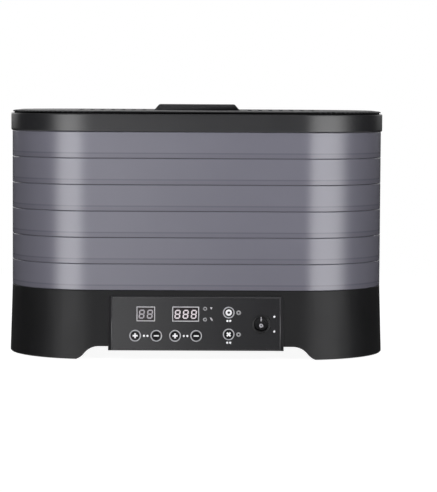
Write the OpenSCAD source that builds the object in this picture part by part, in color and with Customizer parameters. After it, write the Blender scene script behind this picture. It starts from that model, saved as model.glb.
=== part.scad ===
// Stacking drying cabinet for filament spools: a heated fan base, six nesting rings, two spool
// grates and a lift-off lid. Millimetres, +Z up, front towards -Y. The origin is the middle of
// the footprint, on the surface that the feet stand on.

/* [Stack] */
// Width of a ring across its outer faces
stack_w = 346; // [320:1:400]
// Depth of a ring from front to back
stack_d = 250; // [236:1:300]
// Outer corner radius of the rings
corner_r = 80; // [60:1:90]
// Height that one ring adds to the stack
ring_pitch = 24; // [22:0.5:34]
// Wall of a ring
ring_wall = 2.4; // [1.8:0.1:3]
// Number of rings
ring_count = 6; // [3:3:6]
// Rings that share one spool grate
bay_rings = 3; // [3:1:3]

/* [Nesting] */
// Height of the lip that stands up into the ring above
lip_h = 4.5; // [3:0.5:5.5]
// Thickness of that lip
lip_t = 1.6; // [1.2:0.1:2.2]
// Gap between a lip and the wall around it
nest_gap = 0.3; // [0.2:0.05:0.6]
// Chamfer along the outer edges of each seam
seam_chamfer = 0.6; // [0.3:0.1:1]

/* [Grate] */
// How far the ledge that carries a grate stands in from the wall
ledge_w = 7; // [5:0.5:10]
// Thickness of the ledge
ledge_t = 1.8; // [1.4:0.1:2.4]
// Space between the nested lip and the ledge
ledge_headroom = 1.7; // [1:0.1:2.5]
// Thickness of a grate
grate_t = 3; // [2.5:0.5:4]
// Width of a grate's border
grate_border = 9; // [8:0.5:14]
// Width of a grate's bars
grate_bar = 2.6; // [2:0.2:4]
// Spacing of the long bars
grate_pitch = 13; // [11:0.5:18]
// Spacing of the cross ribs
grate_rib_pitch = 52; // [40:1:70]

/* [Base] */
// Height of the base from the table to the first ring
base_h = 64; // [62:0.5:76]
// Wall of the base
base_wall = 3; // [2.4:0.1:3.4]
// How much further out the skirt stands at its foot, on each side
base_flare = 2; // [1:0.1:3]
// Height of the skirt's edge above the table
skirt_lift = 1; // [0.6:0.1:1.4]
// Depth of the deck below the rim
deck_drop = 3; // [2:0.5:3]
// Thickness of the deck
deck_t = 2.5; // [2:0.1:3]
// Height of the arches between the feet
arch_h = 13; // [11:0.5:14]
// Horizontal run of an arch's S-shaped end
arch_run = 26.5; // [22:0.5:30]
// Flat width of the front and back arches
front_arch_w = 177; // [150:1:186]
// Flat width of the side arches
side_arch_w = 36; // [24:1:44]
// Thickness of the bottom cover
cover_t = 2.5; // [2:0.1:3]
// Radius of the rubber foot pads
pad_r = 10; // [7:0.5:12]
// Thickness of the pads
pad_t = 3; // [2.5:0.1:4]

/* [Control panel] */
// From the panel's top edge up to the top of the base
panel_drop = 5.4; // [4.6:0.1:7]
// Height of the panel's foot above the table
panel_foot = 10.2; // [9:0.1:11]
// Width of the panel's front face
panel_w = 153.4; // [150:0.2:162]
// How far the face stands out of the base wall at its top
panel_proud_top = 3; // [2.6:0.1:4]
// How far the face stands out of the base wall at its foot
panel_proud_foot = 5.5; // [4.5:0.1:7]
// Slope of the panel's bevelled ends, as run over depth
panel_bevel = 0.6; // [0.4:0.02:0.8]
// Thickness of the panel moulding
panel_wall = 2.5; // [2:0.1:3]
// Border of the panel around the printed overlay sheet
overlay_border = 1; // [0.8:0.1:1.4]
// Thickness of the overlay sheet
overlay_t = 0.5; // [0.3:0.1:0.7]
// Radius of a key cap
key_r = 4.1; // [3.8:0.1:4.3]
// How far a key stands out of the panel
key_proud = 0.9; // [0.8:0.1:1.4]
// Travel of a key
key_travel = 0.6; // [0.4:0.1:0.8]
// Width of the trim ring around a key
bezel_w = 1; // [0.8:0.05:1.1]
// Radius of the power switch's flange
switch_r = 8.4; // [8.2:0.1:9]
// Width of the two-digit display
hours_display_w = 15.4; // [14:0.2:18]
// Width of the three-digit display
temp_display_w = 22.8; // [21:0.2:25]
// Height of both displays
display_h = 12; // [11:0.2:13]

/* [Lid] */
// Height of the lid's skirt
lid_skirt_h = 16.6; // [15:0.2:20]
// How far the lid stands out past the rings
lid_overhang = 1.2; // [0.8:0.1:2]
// Radius of the rounding along the lid's top edge
lid_round = 4; // [3:0.2:6]
// Height of the shadow gap under the top panel
lid_reveal = 1.2; // [0.6:0.1:1.4]
// Thickness of the top panel
lid_panel_t = 2.5; // [2:0.1:3]
// Length of the grip bar at its foot
grip_l = 82; // [78:1:96]
// Width of the grip bar
grip_w = 24; // [20:1:30]
// Height of the grip bar above the top panel
grip_h = 5.7; // [5:0.1:9]
// Depth of the finger well under the grip
well_depth = 9.6; // [8:0.2:12]

/* [Fan and heater] */
// Side of the square fan frame
fan_side = 92; // [88:1:94]
// Thickness of the fan frame
fan_t = 25; // [20:1:26]
// Radius of the fan's duct
duct_r = 44; // [40:0.5:44]
// Gap between the blade tips and the duct
tip_gap = 1.5; // [1:0.1:3]
// Air gap between the bottom cover and the fan
fan_gap = 4.5; // [2:0.5:6]
// Number of fan blades
blade_count = 7; // [5:1:9]
// Radius of the coiled heater wire
coil_r = 1.6; // [1.2:0.1:2]

/* [Hidden] */
$fn = 64;
cut = 1;                                  // overrun of a cutter past the face it opens
slack = 0.3;                              // clearance of pieces that are dropped into place
fit = 0.05;                               // radial clearance of a pin or screw in its bore

// Heights
deck_z = base_h - deck_drop;              // top of the deck
deck_under = deck_z - deck_t;
cover_z = arch_h + 1;                     // underside of the bottom cover
cover_top = cover_z + cover_t;
ledge_z = lip_h + ledge_headroom + ledge_t;  // top of a ring's ledge above the ring's foot
stack_top = base_h + ring_count * ring_pitch;
lid_shoulder = stack_top + lid_skirt_h;   // top edge of the lid's skirt
lid_under = lid_shoulder + lid_reveal;    // underside of the top panel's rim
lid_rise = 1;                             // from the panel's underside at its rim to its top
lid_top = lid_under + lid_rise;           // flat top of the lid
lid_seat = lid_shoulder - 1.6;            // flange that carries the top panel
fan_z = cover_top + fan_gap;              // the fan stands just over the intake slots
fan_top = fan_z + fan_t;

// Nesting rim: the lip stands just inside the wall of the ring above it
lip_in = ring_wall + nest_gap;            // inset of the lip's outer face
lip_back = lip_in + lip_t;                // inset of its inner face
lip_root = 3;                             // depth of the lip's root in the wall, and of the slope below

// Arches: two arcs make each end; at this radius they cross, just past the one at which they touch
arch_r = 1.003 * (arch_run * arch_run + arch_h * arch_h) / (4 * arch_h);

// Inside of the housing
shelf_in = 7.5;                           // inset of the shelf that carries the deck plate
shelf_z = deck_under - 3;                 // underside of the shelf
rib_w = 3;                                // ribs whose feet bear on the bottom cover
rib_in = 6;
rib_x = 84;
rib_y = 40;

// Feet
skirt_chamfer = 1;
boss_r = 4.6;                             // screw bosses under the deck
leg_x = 112;                              // inner faces of the legs
leg_y = 52;
leg_t = 2;
leg_lift = 0.5;                           // underside of the legs above the skirt's edge
leg_floor = 5;                            // top of a leg's floor
pad_in = 37;                              // foot pads, in from the rings' outline
pad_x = stack_w / 2 - pad_in;
pad_y = stack_d / 2 - pad_in;
slot_w = 4;                               // intake slots under the fan
slot_pitch = 8;
slot_rim = 2;                             // from the slots' ends to the duct's wall

// Fasteners: [shank radius, head radius, head height]
tapping = [1.5, 3.1, 2];
long_tapping = [1.9, 3.6, 2.4];
tiny = [1.2, 2.4, 1.5];
cover_screw_depth = 11;
cover_bosses = [[-140, -72], [140, -72], [-140, 72], [140, 72], [0, -85], [0, 85]];
fan_hole = fan_side / 2 - 4.75;           // offset of the fan's corner holes

// Control panel: its own frame has x along the panel, y up its face and z out of it
panel_h = base_h - panel_drop - panel_foot;
board_foot = 1.4;                         // lower edge of the control board over the bottom cover
switch_v = 16.5;                          // from that edge up to the power switch's axis
panel_z = cover_top + board_foot + switch_v;  // the panel's own frame starts at that axis
panel_top_v = base_h - panel_drop - panel_z;
panel_mid_v = panel_top_v - panel_h / 2;
panel_y_top = wall_y(base_h - panel_drop) + panel_proud_top;
panel_y_foot = wall_y(panel_foot) + panel_proud_foot;
// distance of the panel's face from the origin, at the height of the switch
panel_y = panel_y_foot + (panel_y_top - panel_y_foot) * (panel_z - panel_foot) / panel_h;
panel_tilt = atan((panel_y_foot - panel_y_top) / panel_h);
overlay_w = panel_w - 2 * overlay_border;
overlay_h = panel_h - 2 * overlay_border;
panel_deep = 9;                           // length of the panel's sides, before the wall cuts them
panel_spread = 1;                         // how much further the sides reach at top and foot
window_w = panel_w - 7;                   // opening in the base wall behind the panel
window_z = [cover_top + 2, shelf_z - 2];
board_back = -11.6;                       // control board, measured from the panel's face
board_t = 1.6;
board_front = board_back + board_t;
board_span = [-68, 47];                   // ends of the board along the panel
board_h = panel_top_v + switch_v - 7.7;
board_mid_v = board_h / 2 - switch_v;
board_screw_bite = 4;                     // how far a board screw reaches into its post
post_r = 2.8;
post_v = [-12, panel_top_v - 12.2];
post_u = [board_span[0] + 3.2, board_span[1] - 3.2];
key_hole = key_r + 0.2;
key_flange_r = key_r + 1.1;
key_flange_t = 0.9;
bezel_proud = 0.5;
display_sink = 0.3;                       // face of the displays below the panel's face
lamp_proud = 0.3;
tact = 6;                                 // side of a tact switch
tact_h = 3.6;
tact_floor = 1;                           // floor of its bore over the board
tact_play = 0.5;                          // left under a key's stem when the key is pressed in
stem_r = 1.4;
hours_u = -45.6;                          // middle of the hours keys and display
temp_u = -9.4;                            // middle of the temperature keys and display
run_u = 29.7;                             // start and stop keys
key_step = 9.6;                           // half the spacing of a plus and minus pair
key_v = -11.2;
display_v = panel_top_v - 15.6;
run_v = [panel_top_v - 14.1, -9.7];
lamp_u = [38.7, 8.2];                     // lamps beside the run keys, and for the unit
lamp_v = [[panel_top_v - 14.2, -9.8], [panel_top_v - 10.7, panel_top_v - 20.5]];
lamp_r = [2.1, 1.8];
lamp_gap = 0.1;
switch_u = 59.2;
clip_u = [hours_u, 15];                   // clips that hold the panel in its window
clip_w = 7;
clip_t = 1.6;
clip_barb = 1.2;                          // length of a clip's hook
clip_grip = 1.4;                          // how far a hook reaches past the window's edge
keys = [["hours_plus_key", hours_u - key_step, key_v],
        ["hours_minus_key", hours_u + key_step, key_v],
        ["temperature_plus_key", temp_u - key_step, key_v],
        ["temperature_minus_key", temp_u + key_step, key_v],
        ["start_key", run_u, run_v[0]],
        ["stop_key", run_u, run_v[1]]];

// Power switch
rocker_r = 6.3;                           // ball that the rocker is cut from
switch_bore = rocker_r + 0.3;
switch_body_r = 7.4;
switch_hole = switch_body_r + 0.1;
switch_flange_t = 1.6;
switch_depth = 16;
switch_tab = [4.8, 0.8, 8];               // terminals behind the body
switch_tab_v = 3.5;                       // offset of the two terminals
rocker_pivot = -1;                        // height of the rocker's axis over the panel's face
rocker_swing = 7;                         // half of the rocker's travel, in degrees
rocker_hollow = 7;                        // slope of each of its two flats
rocker_crown = 1.8;                       // height of the line between the flats over the axis
rocker_foot = 3.2;                        // depth of its underside below the axis
rocker_pin_r = 0.9;
rocker_pin_l = 0.85;

// Mains inlet, on a pad that stands as far out at the back as the panel does at the front
inlet_x = 27;
inlet_z = 36;
inlet_flange = [50, 24, 2.2];
inlet_rim = 3;                            // border of the pad around the flange
inlet_body = [27, 20, 25];
inlet_well = [24.2, 15.8, 16];
inlet_pin = [2, 4];                       // cross-section of a contact
inlet_pin_in = 3;                         // front end of a contact below the flange's face
inlet_pin_out = 8;                        // what stands out behind the body
inlet_screw_x = 20;
inlet_screw_l = 10;
inlet_face = panel_y_foot + 0.4;          // outer face of the flange
inlet_pad_y = inlet_face - inlet_flange[2];

// Lid details
well_w = grip_l - 24;
well_d = grip_w + 44;
well_r = 10;
well_floor = lid_top - well_depth;
well_wall = 2;
vent_w = 4;
vent_l = 64;
vent_pitch = 10;
vent_count = 7;
vent_x0 = well_w / 2 + 22;
flange_in = 15;                           // inset of the lid flange's inner edge
flange_t = 2.4;
spigot_in = 1.5;                          // inset of the frame's shoulder from the rings' outline
spigot_t = 3;
lid_screw_l = 5;
lid_boss_r = 3.6;
lid_screw_in = 9.5;                       // inset of the lid's screws
lid_screw_x = 44;
lid_screw_y = 24;
grip_screw_x = grip_l / 2 - 4;
grip_screw_bite = 1.6;
grip_lean = 0.88;                         // run of the grip's ends, as a share of its height
grip_hollow = 2;                          // depth of the hollow under the grip

// Fan and heater
fan_corner_r = 5;
fan_plate = 3;                            // floor of the motor mount, and its struts
fan_screw_bite = 8;                       // how far a fan screw reaches into its boss
strut_w = 4;
hub_r = 18;
hub_t = 19;
hub_wall = 2.5;
hub_sink = 1.5;                           // top of the rotor below the frame's top
blade_t = 1.8;
blade_pitch = 38;                         // degrees from the plane of the rotor
bearing_r = 4;
bearing_end = 8;                          // bearing post below the frame's top
shaft_r = 1.5;
motor_r = 12.5;
motor_h = 11;
outlet_r = duct_r + 1;
collar_t = 2.5;
wire_notch = 8;                           // gap in the collar for the heater's wires
outlet_gap = 2.5;                         // from the mica strips to the underside of the deck
mica_t = 1;
mica_h = deck_under - fan_top - outlet_gap;
coil_z = fan_top + slack + mica_h / 2;    // plane of the coils
coil_rings = [14, 24, 34];
coil_sides = 24;
cutout_at = 29;                           // between the two outer coils
cutout_r = 2.9;
cutout_h = 5;
grille_r = outlet_r + 7;
grille_bar = 2;
grille_t = 3;
grille_rings = [10, 18, 26, 34];
grille_leg = [1.3, 10, 4.5];
probe_x = outlet_r + 14;
probe_r = 2;
probe_collar_r = 4;
probe_collar_t = 1.5;
probe_proud = 5;                          // height of the probe's tip over the deck
probe_foot = deck_under - 6;

// Power board
power_x = -112;                           // middle of the board
power_w = 78;
power_d = 84;
power_z = cover_top + 5;                  // underside of the board
power_t = 1.6;
power_post_r = 3.4;
power_screw_bite = 3.5;
power_holes = [for (sx = [-1, 1], sy = [-1, 1]) [power_x + sx * (power_w / 2 - 4), sy * (power_d / 2 - 4)]];
power_face = power_x + power_w / 2 - 3;   // plane of the connectors' mouths
header = [power_x + 8, -40, 12];          // ribbon header: left end, front face and length
header_d = 5;
header_h = 8;
plug_w = 12;
plug_d = 11;
plug_h = 11;
plug_y = [28, 4, -13, -29];               // connectors for mains, heater, fan and switch
transformer = [30, 26, 22];
relay = [20, 16, 15];
filter_r = 8;
filter_h = 24;
heat_sink = [3, 24, 20];

// Wires: each lead runs from one piece, along a route chosen by hand, to another piece
wire_r = 1.1;
wire_gap = 0.2;                           // from a lead's end to the piece that it serves
wire_step = 2.9;                          // spacing of the leads in a bundle
thin_wire_r = 0.6;
thin_wire_step = 1.3;
probe_lead_u = [38, 41];                  // where the probe's leads meet the control board
ribbon_u = -50;                           // and the middle of the ribbon
ribbon_step = 1.7;
lead_in = 3;                              // straight length at each end of a lead
plug_z = power_z + power_t + 2.4;         // lowest lead at a connector
pin_end = inlet_face - inlet_body.z - inlet_pin_out - wire_gap;
mains_way = [[22, 88, 34], [13, 74, 33], [0, 65, 31], [-20, 60, 29], [-46, 55, 27.5], [-60, 45, 26.5],
             [-68, 34, 25.6]];
switch_way = [[56, -94, 31], [44, -83, 30], [28, -72, 29], [0, -64, 28], [-36, -60, 27], [-57, -50, 26.5],
              [-67, -38, 25.8]];
coil_top = coil_z + coil_r;
heater_lead_z = coil_top + 1.7;
heater_way = [[-44, 0, deck_under - 3.9], [-50, 0, deck_under - 4.3], [-57, 0.5, deck_under - 7.5],
              [-62, 1.5, 43], [-65, 2.8, 34], [-68, 3.6, 28]];
cutout_way = [[-27.5, 12, coil_top + 1.3], [-33, 5.5, coil_top + 1.9], [-38.5, 1.2, coil_top + 1.9]];
fan_way = [[-53, -22, 26], [-60, -19.5, 26.5], [-67, -15, 26]];
probe_way = [[59, -3, 45.5], [58, -14, 44], [56, -40, 43], [50, -76, 43], [42, -102, 40]];
ribbon_way = [[-56, -104, 33], [-68, -84, 32], [-80, -66, 30.5], [-90, -52, 29]];

// ---- Shared shapes ----

// Outer face of the base wall at height z, as a distance from the middle plane
function wall_y(z) = stack_d / 2 - base_inset(z);

// Inset of the base's outer face from the ring outline; below zero where the skirt flares out
function base_inset(z) = -base_flare * (base_h - z) / (base_h - skirt_lift);

// A profile point: inset from the outer face of the rings, and height
function at(inset, z) = [corner_r - inset, z];

// A point of the panel's own frame, in the frame of the whole
function panel_point(u, v, w) =
    let (s = sin(panel_tilt), c = cos(panel_tilt)) [u, v * s - w * c - panel_y, v * c + w * s + panel_z];

function unit(v) = v / norm(v);
function heading(p, i) =
    i == 0 ? unit(p[1] - p[0]) :
    i == len(p) - 1 ? unit(p[i] - p[i - 1]) :
    unit(unit(p[i + 1] - p[i]) + unit(p[i] - p[i - 1]));
function sideways(p, i, s) =
    i == len(p) ? [] :
    let (t = heading(p, i), n = unit(s - (s * t) * t)) concat([n], sideways(p, i + 1, n));

// Carries a profile around the rounded outline; the profile's x counts from the corner centres
module band(w = stack_w, d = stack_d, r = corner_r) {
    for (k = [0:3])
        rotate([0, 0, 90 * k])
            translate([(k % 2 == 0 ? w : d) / 2 - r, (k % 2 == 0 ? d : w) / 2 - r, 0]) {
                rotate_extrude(angle = 90) children();
                rotate([90, 0, 0]) linear_extrude((k % 2 == 0 ? d : w) - 2 * r) children();
            }
}

// A flat plate with rounded corners, from z = 0 up
module slab(w, d, r, h) {
    band(w, d, r) square([r, h]);
    translate([r - w / 2, r - d / 2, 0]) cube([w - 2 * r, d - 2 * r, h]);
}

// A plate that follows the stack's outline at an inset
module stack_slab(inset, h) {
    slab(stack_w - 2 * inset, stack_d - 2 * inset, corner_r - inset, h);
}

// A tube of radius r along a route of points
module tube(route, r, sides = 8) {
    first = heading(route, 0);
    across = sideways(route, 0, abs(first.z) < 0.9 ? [0, 0, 1] : [1, 0, 0]);
    points = [for (i = [0:len(route) - 1]) for (k = [0:sides - 1])
        let (n = across[i], b = cross(heading(route, i), n), a = 360 * k / sides)
            route[i] + r * (cos(a) * n + sin(a) * b)];
    last = (len(route) - 1) * sides;
    faces = concat(
        [[for (k = [0:sides - 1]) k]],
        [for (i = [0:len(route) - 2]) for (k = [0:sides - 1])
            let (a = i * sides + k, b = i * sides + (k + 1) % sides) [a, a + sides, b + sides, b]],
        [[for (k = [sides - 1:-1:0]) last + k]]);
    polyhedron(points, faces);
}

// A screw whose head lies below z = 0 and whose shank runs up
module screw(kind, length) {
    translate([0, 0, -kind[2]]) cylinder(r = kind[1], h = kind[2]);
    cylinder(r = kind[0], h = length);
}

// A countersunk screw whose flat head lies flush at z = 0, pointing down
module flush_screw(kind, length) {
    translate([0, 0, -kind[2]]) cylinder(r1 = kind[0], r2 = kind[1], h = kind[2]);
    translate([0, 0, -length]) cylinder(r = kind[0], h = length - kind[2]);
}

// Places children in the panel's own frame
module on_panel(u = 0, v = 0, w = 0) {
    translate([0, -panel_y, panel_z]) rotate([90 - panel_tilt, 0, 0]) translate([u, v, w]) children();
}

// A block in the panel's frame: size along and up the panel, between two depths
module panel_block(w, h, back, front) {
    translate([-w / 2, -h / 2, back]) cube([w, h, front - back]);
}

module ring_of(r_out, r_in, h) {
    difference() {
        cylinder(r = r_out, h = h);
        translate([0, 0, -cut]) cylinder(r = r_in, h = h + 2 * cut);
    }
}

// ---- Tray rings and grates ----

module ring_profile() {
    polygon([
        at(seam_chamfer, 0), at(0, seam_chamfer), at(0, ring_pitch - seam_chamfer),
        at(seam_chamfer, ring_pitch), at(lip_in, ring_pitch), at(lip_in, ring_pitch + lip_h),
        at(lip_back, ring_pitch + lip_h), at(lip_back, ring_pitch - lip_root),
        at(ring_wall, ring_pitch - 2 * lip_root),
        at(ring_wall, ledge_z), at(ring_wall + ledge_w, ledge_z),
        at(ring_wall + ledge_w, ledge_z - ledge_t), at(ring_wall, ledge_z - ledge_t), at(ring_wall, 0)]);
}

module tray_ring(i) {
    color([0.47, 0.47, 0.53])
        translate([0, 0, base_h + (i - 1) * ring_pitch]) band() ring_profile();
}

// Lies on the ledge of ring number i
module spool_grate(i) {
    outer = lip_back + slack;
    inner = outer + grate_border - 1;
    open_w = stack_w - 2 * inner;
    open_d = stack_d - 2 * inner;
    bars = floor(open_d / grate_pitch / 2);
    ribs = floor(open_w / grate_rib_pitch / 2);
    color([0.16, 0.16, 0.17])
        translate([0, 0, base_h + (i - 1) * ring_pitch + ledge_z]) {
            band() translate([corner_r - outer - grate_border, 0]) square([grate_border, grate_t]);
            intersection() {
                stack_slab(inner, grate_t);
                union() {
                    for (k = [-bars:bars])
                        translate([-stack_w / 2, k * grate_pitch - grate_bar / 2, 0])
                            cube([stack_w, grate_bar, grate_t]);
                    for (k = [-ribs:ribs])
                        translate([k * grate_rib_pitch - grate_bar / 2, -stack_d / 2, 0])
                            cube([grate_bar, stack_d, grate_t]);
                }
            }
        }
}

// ---- Base ----

module base_profile() {
    foot = skirt_lift + skirt_chamfer;
    brow = base_h - seam_chamfer;
    polygon([
        at(base_inset(skirt_lift) + skirt_chamfer, skirt_lift), at(base_inset(foot), foot),
        at(base_inset(brow), brow), at(seam_chamfer, base_h), at(lip_in, base_h),
        at(lip_in, base_h + lip_h), at(lip_back, base_h + lip_h), at(lip_back, deck_under),
        at(shelf_in, deck_under), at(shelf_in, shelf_z), at(base_inset(shelf_z) + base_wall, shelf_z),
        at(base_inset(skirt_lift) + base_wall, skirt_lift)]);
}

// The opening between two feet, drawn in x and z
module arch_shape(flat_w) {
    translate([-flat_w / 2, -cut]) square([flat_w, arch_h + cut]);
    for (s = [0, 1]) mirror([s, 0]) translate([flat_w / 2, 0]) difference() {
        union() {
            translate([0, -cut]) square([arch_run, arch_h / 2 + cut]);
            intersection() {
                translate([0, -cut]) square([arch_run, arch_h + 2 * cut]);
                translate([0, arch_h - arch_r]) circle(arch_r);
            }
        }
        translate([arch_run, arch_r]) circle(arch_r);
    }
}

module arches() {
    through_d = stack_d + 8 * base_flare;
    through_w = stack_w + 8 * base_flare;
    translate([0, through_d / 2, 0]) rotate([90, 0, 0]) linear_extrude(through_d) arch_shape(front_arch_w);
    rotate([0, 0, 90]) translate([0, through_w / 2, 0]) rotate([90, 0, 0])
        linear_extrude(through_w) arch_shape(side_arch_w);
}

// The outer wall with its arches, between the deck plate above and the bottom cover below
module base_housing() {
    pad_w = inlet_flange.x + 2 * inlet_rim;
    pad_h = inlet_flange.y + 2 * inlet_rim;
    color([0.1, 0.1, 0.11]) difference() {
        union() {
            band() base_profile();
            for (sx = [0, 1], sy = [0, 1]) mirror([sx, 0, 0]) mirror([0, sy, 0]) {
                translate([rib_x - rib_w / 2, stack_d / 2 - rib_in, cover_top])
                    cube([rib_w, rib_in, deck_under - cover_top]);
                translate([stack_w / 2 - rib_in, rib_y - rib_w / 2, cover_top])
                    cube([rib_in, rib_w, deck_under - cover_top]);
            }
            translate([inlet_x - pad_w / 2, stack_d / 2 - 1, inlet_z - pad_h / 2])
                cube([pad_w, inlet_pad_y - stack_d / 2 + 1, pad_h]);
        }
        arches();
        // window behind the control panel
        translate([-window_w / 2, -stack_d / 2 - 10, window_z[0]])
            cube([window_w, 20, window_z[1] - window_z[0]]);
        // way in for the mains inlet
        translate([inlet_x - inlet_body.x / 2 - slack, stack_d / 2 - 10, inlet_z - inlet_body.y / 2 - slack])
            cube([inlet_body.x + 2 * slack, 20, inlet_body.y + 2 * slack]);
        for (s = [-1, 1])
            translate([inlet_x + s * inlet_screw_x, inlet_pad_y + cut, inlet_z]) rotate([90, 0, 0])
                cylinder(r = tapping[0] + fit, h = 2 * inlet_screw_l);
    }
}

// Drops onto the housing's shelf; its bosses carry the fan and take the cover's screws, which clamp
// the housing between the two
module deck_plate() {
    color([0.11, 0.11, 0.12]) difference() {
        union() {
            translate([0, 0, deck_under]) stack_slab(lip_back + slack, deck_t);
            translate([0, 0, fan_top + slack])
                cylinder(r = outlet_r + collar_t, h = deck_z - fan_top - slack);
            for (p = cover_bosses)
                translate([p.x, p.y, cover_top]) cylinder(r = boss_r, h = deck_z - cover_top);
            for (sx = [-1, 1], sy = [-1, 1])
                translate([sx * fan_hole, sy * fan_hole, fan_top]) cylinder(r = boss_r, h = deck_z - fan_top);
        }
        translate([0, 0, fan_top - cut]) cylinder(r = outlet_r, h = deck_z - fan_top + 2 * cut);
        // notch in the collar for the heater's wires
        translate([-outlet_r - collar_t - cut, -wire_notch / 2, fan_top - cut])
            cube([collar_t + 4, wire_notch, deck_under - fan_top - cut]);
        translate([probe_x, 0, deck_under - cut]) cylinder(r = probe_r + slack / 2, h = deck_t + 2 * cut);
        for (p = cover_bosses)
            translate([p.x, p.y, cover_top - cut])
                cylinder(r = tapping[0] + fit, h = cover_screw_depth + 1 + cut);
        for (sx = [-1, 1], sy = [-1, 1])
            translate([sx * fan_hole, sy * fan_hole, fan_top - cut])
                cylinder(r = long_tapping[0] + fit, h = fan_screw_bite + 1 + cut);
    }
}

// Where the legs' cups lie, seen from above
module leg_corners(x0, y0, h) {
    for (sx = [0, 1], sy = [0, 1]) mirror([sx, 0, 0]) mirror([0, sy, 0])
        translate([x0, y0, 0]) cube([stack_w, stack_d, h]);
}

module bottom_cover() {
    edge = base_inset(cover_top) + base_wall + slack;
    foot_z = skirt_lift + leg_lift;
    cup_h = cover_z - foot_z;
    slots = floor((duct_r - slot_w) / slot_pitch);
    color([0.09, 0.09, 0.1]) difference() {
        union() {
            translate([0, 0, cover_z]) stack_slab(edge, cover_t);
            translate([0, 0, foot_z]) intersection() {
                stack_slab(edge, cup_h);
                leg_corners(leg_x, leg_y, cup_h);
            }
            for (p = power_holes)
                translate([p.x, p.y, cover_z]) cylinder(r = power_post_r, h = power_z - cover_z);
        }
        translate([0, 0, leg_floor]) intersection() {
            stack_slab(edge + leg_t, cover_top);
            leg_corners(leg_x + leg_t, leg_y + leg_t, cover_top - leg_floor + cut);
        }
        for (sx = [-1, 1], sy = [-1, 1])
            translate([sx * pad_x, sy * pad_y, 0]) cylinder(r = pad_r + slack, h = pad_t);
        for (p = cover_bosses)
            translate([p.x, p.y, -cut]) cylinder(r = tapping[0] + slack, h = cover_top + 2 * cut);
        for (p = cover_bosses)
            translate([p.x, p.y, -cut]) cylinder(r = tapping[1] + 2 * slack, h = cover_z + cut);
        for (p = power_holes)
            translate([p.x, p.y, cover_top]) cylinder(r = tiny[0] + fit, h = power_z);
        intersection() {
            translate([0, 0, cover_z - cut]) cylinder(r = duct_r - slot_rim, h = cover_t + 2 * cut);
            for (k = [-slots:slots])
                translate([-duct_r, k * slot_pitch - slot_w / 2, cover_z - cut])
                    cube([2 * duct_r, slot_w, cover_t + 2 * cut]);
        }
    }
}

module foot_pads() {
    color([0.05, 0.05, 0.05])
        for (sx = [-1, 1], sy = [-1, 1]) translate([sx * pad_x, sy * pad_y, 0]) cylinder(r = pad_r, h = pad_t);
}

module cover_screws() {
    color([0.6, 0.6, 0.62])
        for (p = cover_bosses) translate([p.x, p.y, cover_z]) screw(tapping, cover_t + cover_screw_depth);
}

// ---- Control panel ----

// Everything behind the sloping front face of the base wall
module behind_wall() {
    lean = atan(base_flare / (base_h - skirt_lift));
    translate([0, -stack_d / 2 - fit, base_h]) rotate([-lean, 0, 0])
        translate([-stack_w, 0, -2 * base_h]) cube([2 * stack_w, stack_d, 3 * base_h]);
}

module control_panel() {
    color([0.17, 0.17, 0.18]) {
        difference() {
            on_panel(0, panel_mid_v) hull() {
                panel_block(panel_w, panel_h, -0.01, 0);
                panel_block(panel_w + 2 * panel_bevel * panel_deep, panel_h + 2 * panel_spread, -panel_deep,
                            -panel_deep + 0.01);
            }
            behind_wall();
            on_panel(0, panel_mid_v) {
                panel_block(window_w - 2, panel_h - 2 * panel_wall, -2 * panel_deep, -panel_wall);
                panel_block(overlay_w + slack, overlay_h + slack, -overlay_t - fit, cut);
            }
            for (k = keys)
                on_panel(k[1], k[2], -panel_wall - cut) cylinder(r = key_hole, h = panel_wall + 2 * cut);
            for (g = [0, 1]) for (v = lamp_v[g])
                on_panel(lamp_u[g], v, -panel_wall - cut)
                    cylinder(r = lamp_r[g] + lamp_gap, h = panel_wall + 2 * cut);
            on_panel(hours_u, display_v)
                panel_block(hours_display_w + slack, display_h + slack, -panel_wall - cut, cut);
            on_panel(temp_u, display_v)
                panel_block(temp_display_w + slack, display_h + slack, -panel_wall - cut, cut);
            on_panel(switch_u, 0, -panel_wall - cut) cylinder(r = switch_hole, h = panel_wall + 2 * cut);
        }
        for (u = post_u, v = post_v)
            on_panel(u, v, board_front) difference() {
                cylinder(r = post_r, h = -panel_wall - board_front);
                translate([0, 0, -cut]) cylinder(r = tiny[0] + fit, h = board_screw_bite + 1 + cut);
            }
        for (u = clip_u, s = [0, 1]) panel_clip(u, s);
    }
}

// A hook that passes through the window and catches behind the wall, at its top (1) or foot (0)
module panel_clip(u, s) {
    z = window_z[s];
    tongue_z = s == 1 ? z - slack - clip_t : z + slack;
    barb_z = s == 1 ? tongue_z : z - clip_grip;
    inner = base_wall - wall_y(z) + slack;
    root = -(s == 1 ? panel_y_top : panel_y_foot) + panel_wall * 0.8;
    translate([u - clip_w / 2, root, tongue_z]) cube([clip_w, inner + clip_barb - root, clip_t]);
    translate([u - clip_w / 2, inner, barb_z]) cube([clip_w, clip_barb, clip_t + slack + clip_grip]);
}

module panel_overlay() {
    color([0.14, 0.14, 0.15]) difference() {
        on_panel(0, panel_mid_v) panel_block(overlay_w, overlay_h, -overlay_t, 0);
        for (k = keys)
            on_panel(k[1], k[2], -cut) cylinder(r = key_hole + bezel_w + fit, h = 2 * cut);
        for (g = [0, 1]) for (v = lamp_v[g])
            on_panel(lamp_u[g], v, -cut) cylinder(r = lamp_r[g] + lamp_gap, h = 2 * cut);
        on_panel(hours_u, display_v) panel_block(hours_display_w + slack, display_h + slack, -cut, cut);
        on_panel(temp_u, display_v) panel_block(temp_display_w + slack, display_h + slack, -cut, cut);
        on_panel(switch_u, 0, -cut) cylinder(r = switch_hole, h = 2 * cut);
    }
}

module key_trim_rings() {
    color([0.86, 0.86, 0.88])
        for (k = keys)
            on_panel(k[1], k[2], -overlay_t) ring_of(key_hole + bezel_w, key_hole, overlay_t + bezel_proud);
}

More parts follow.
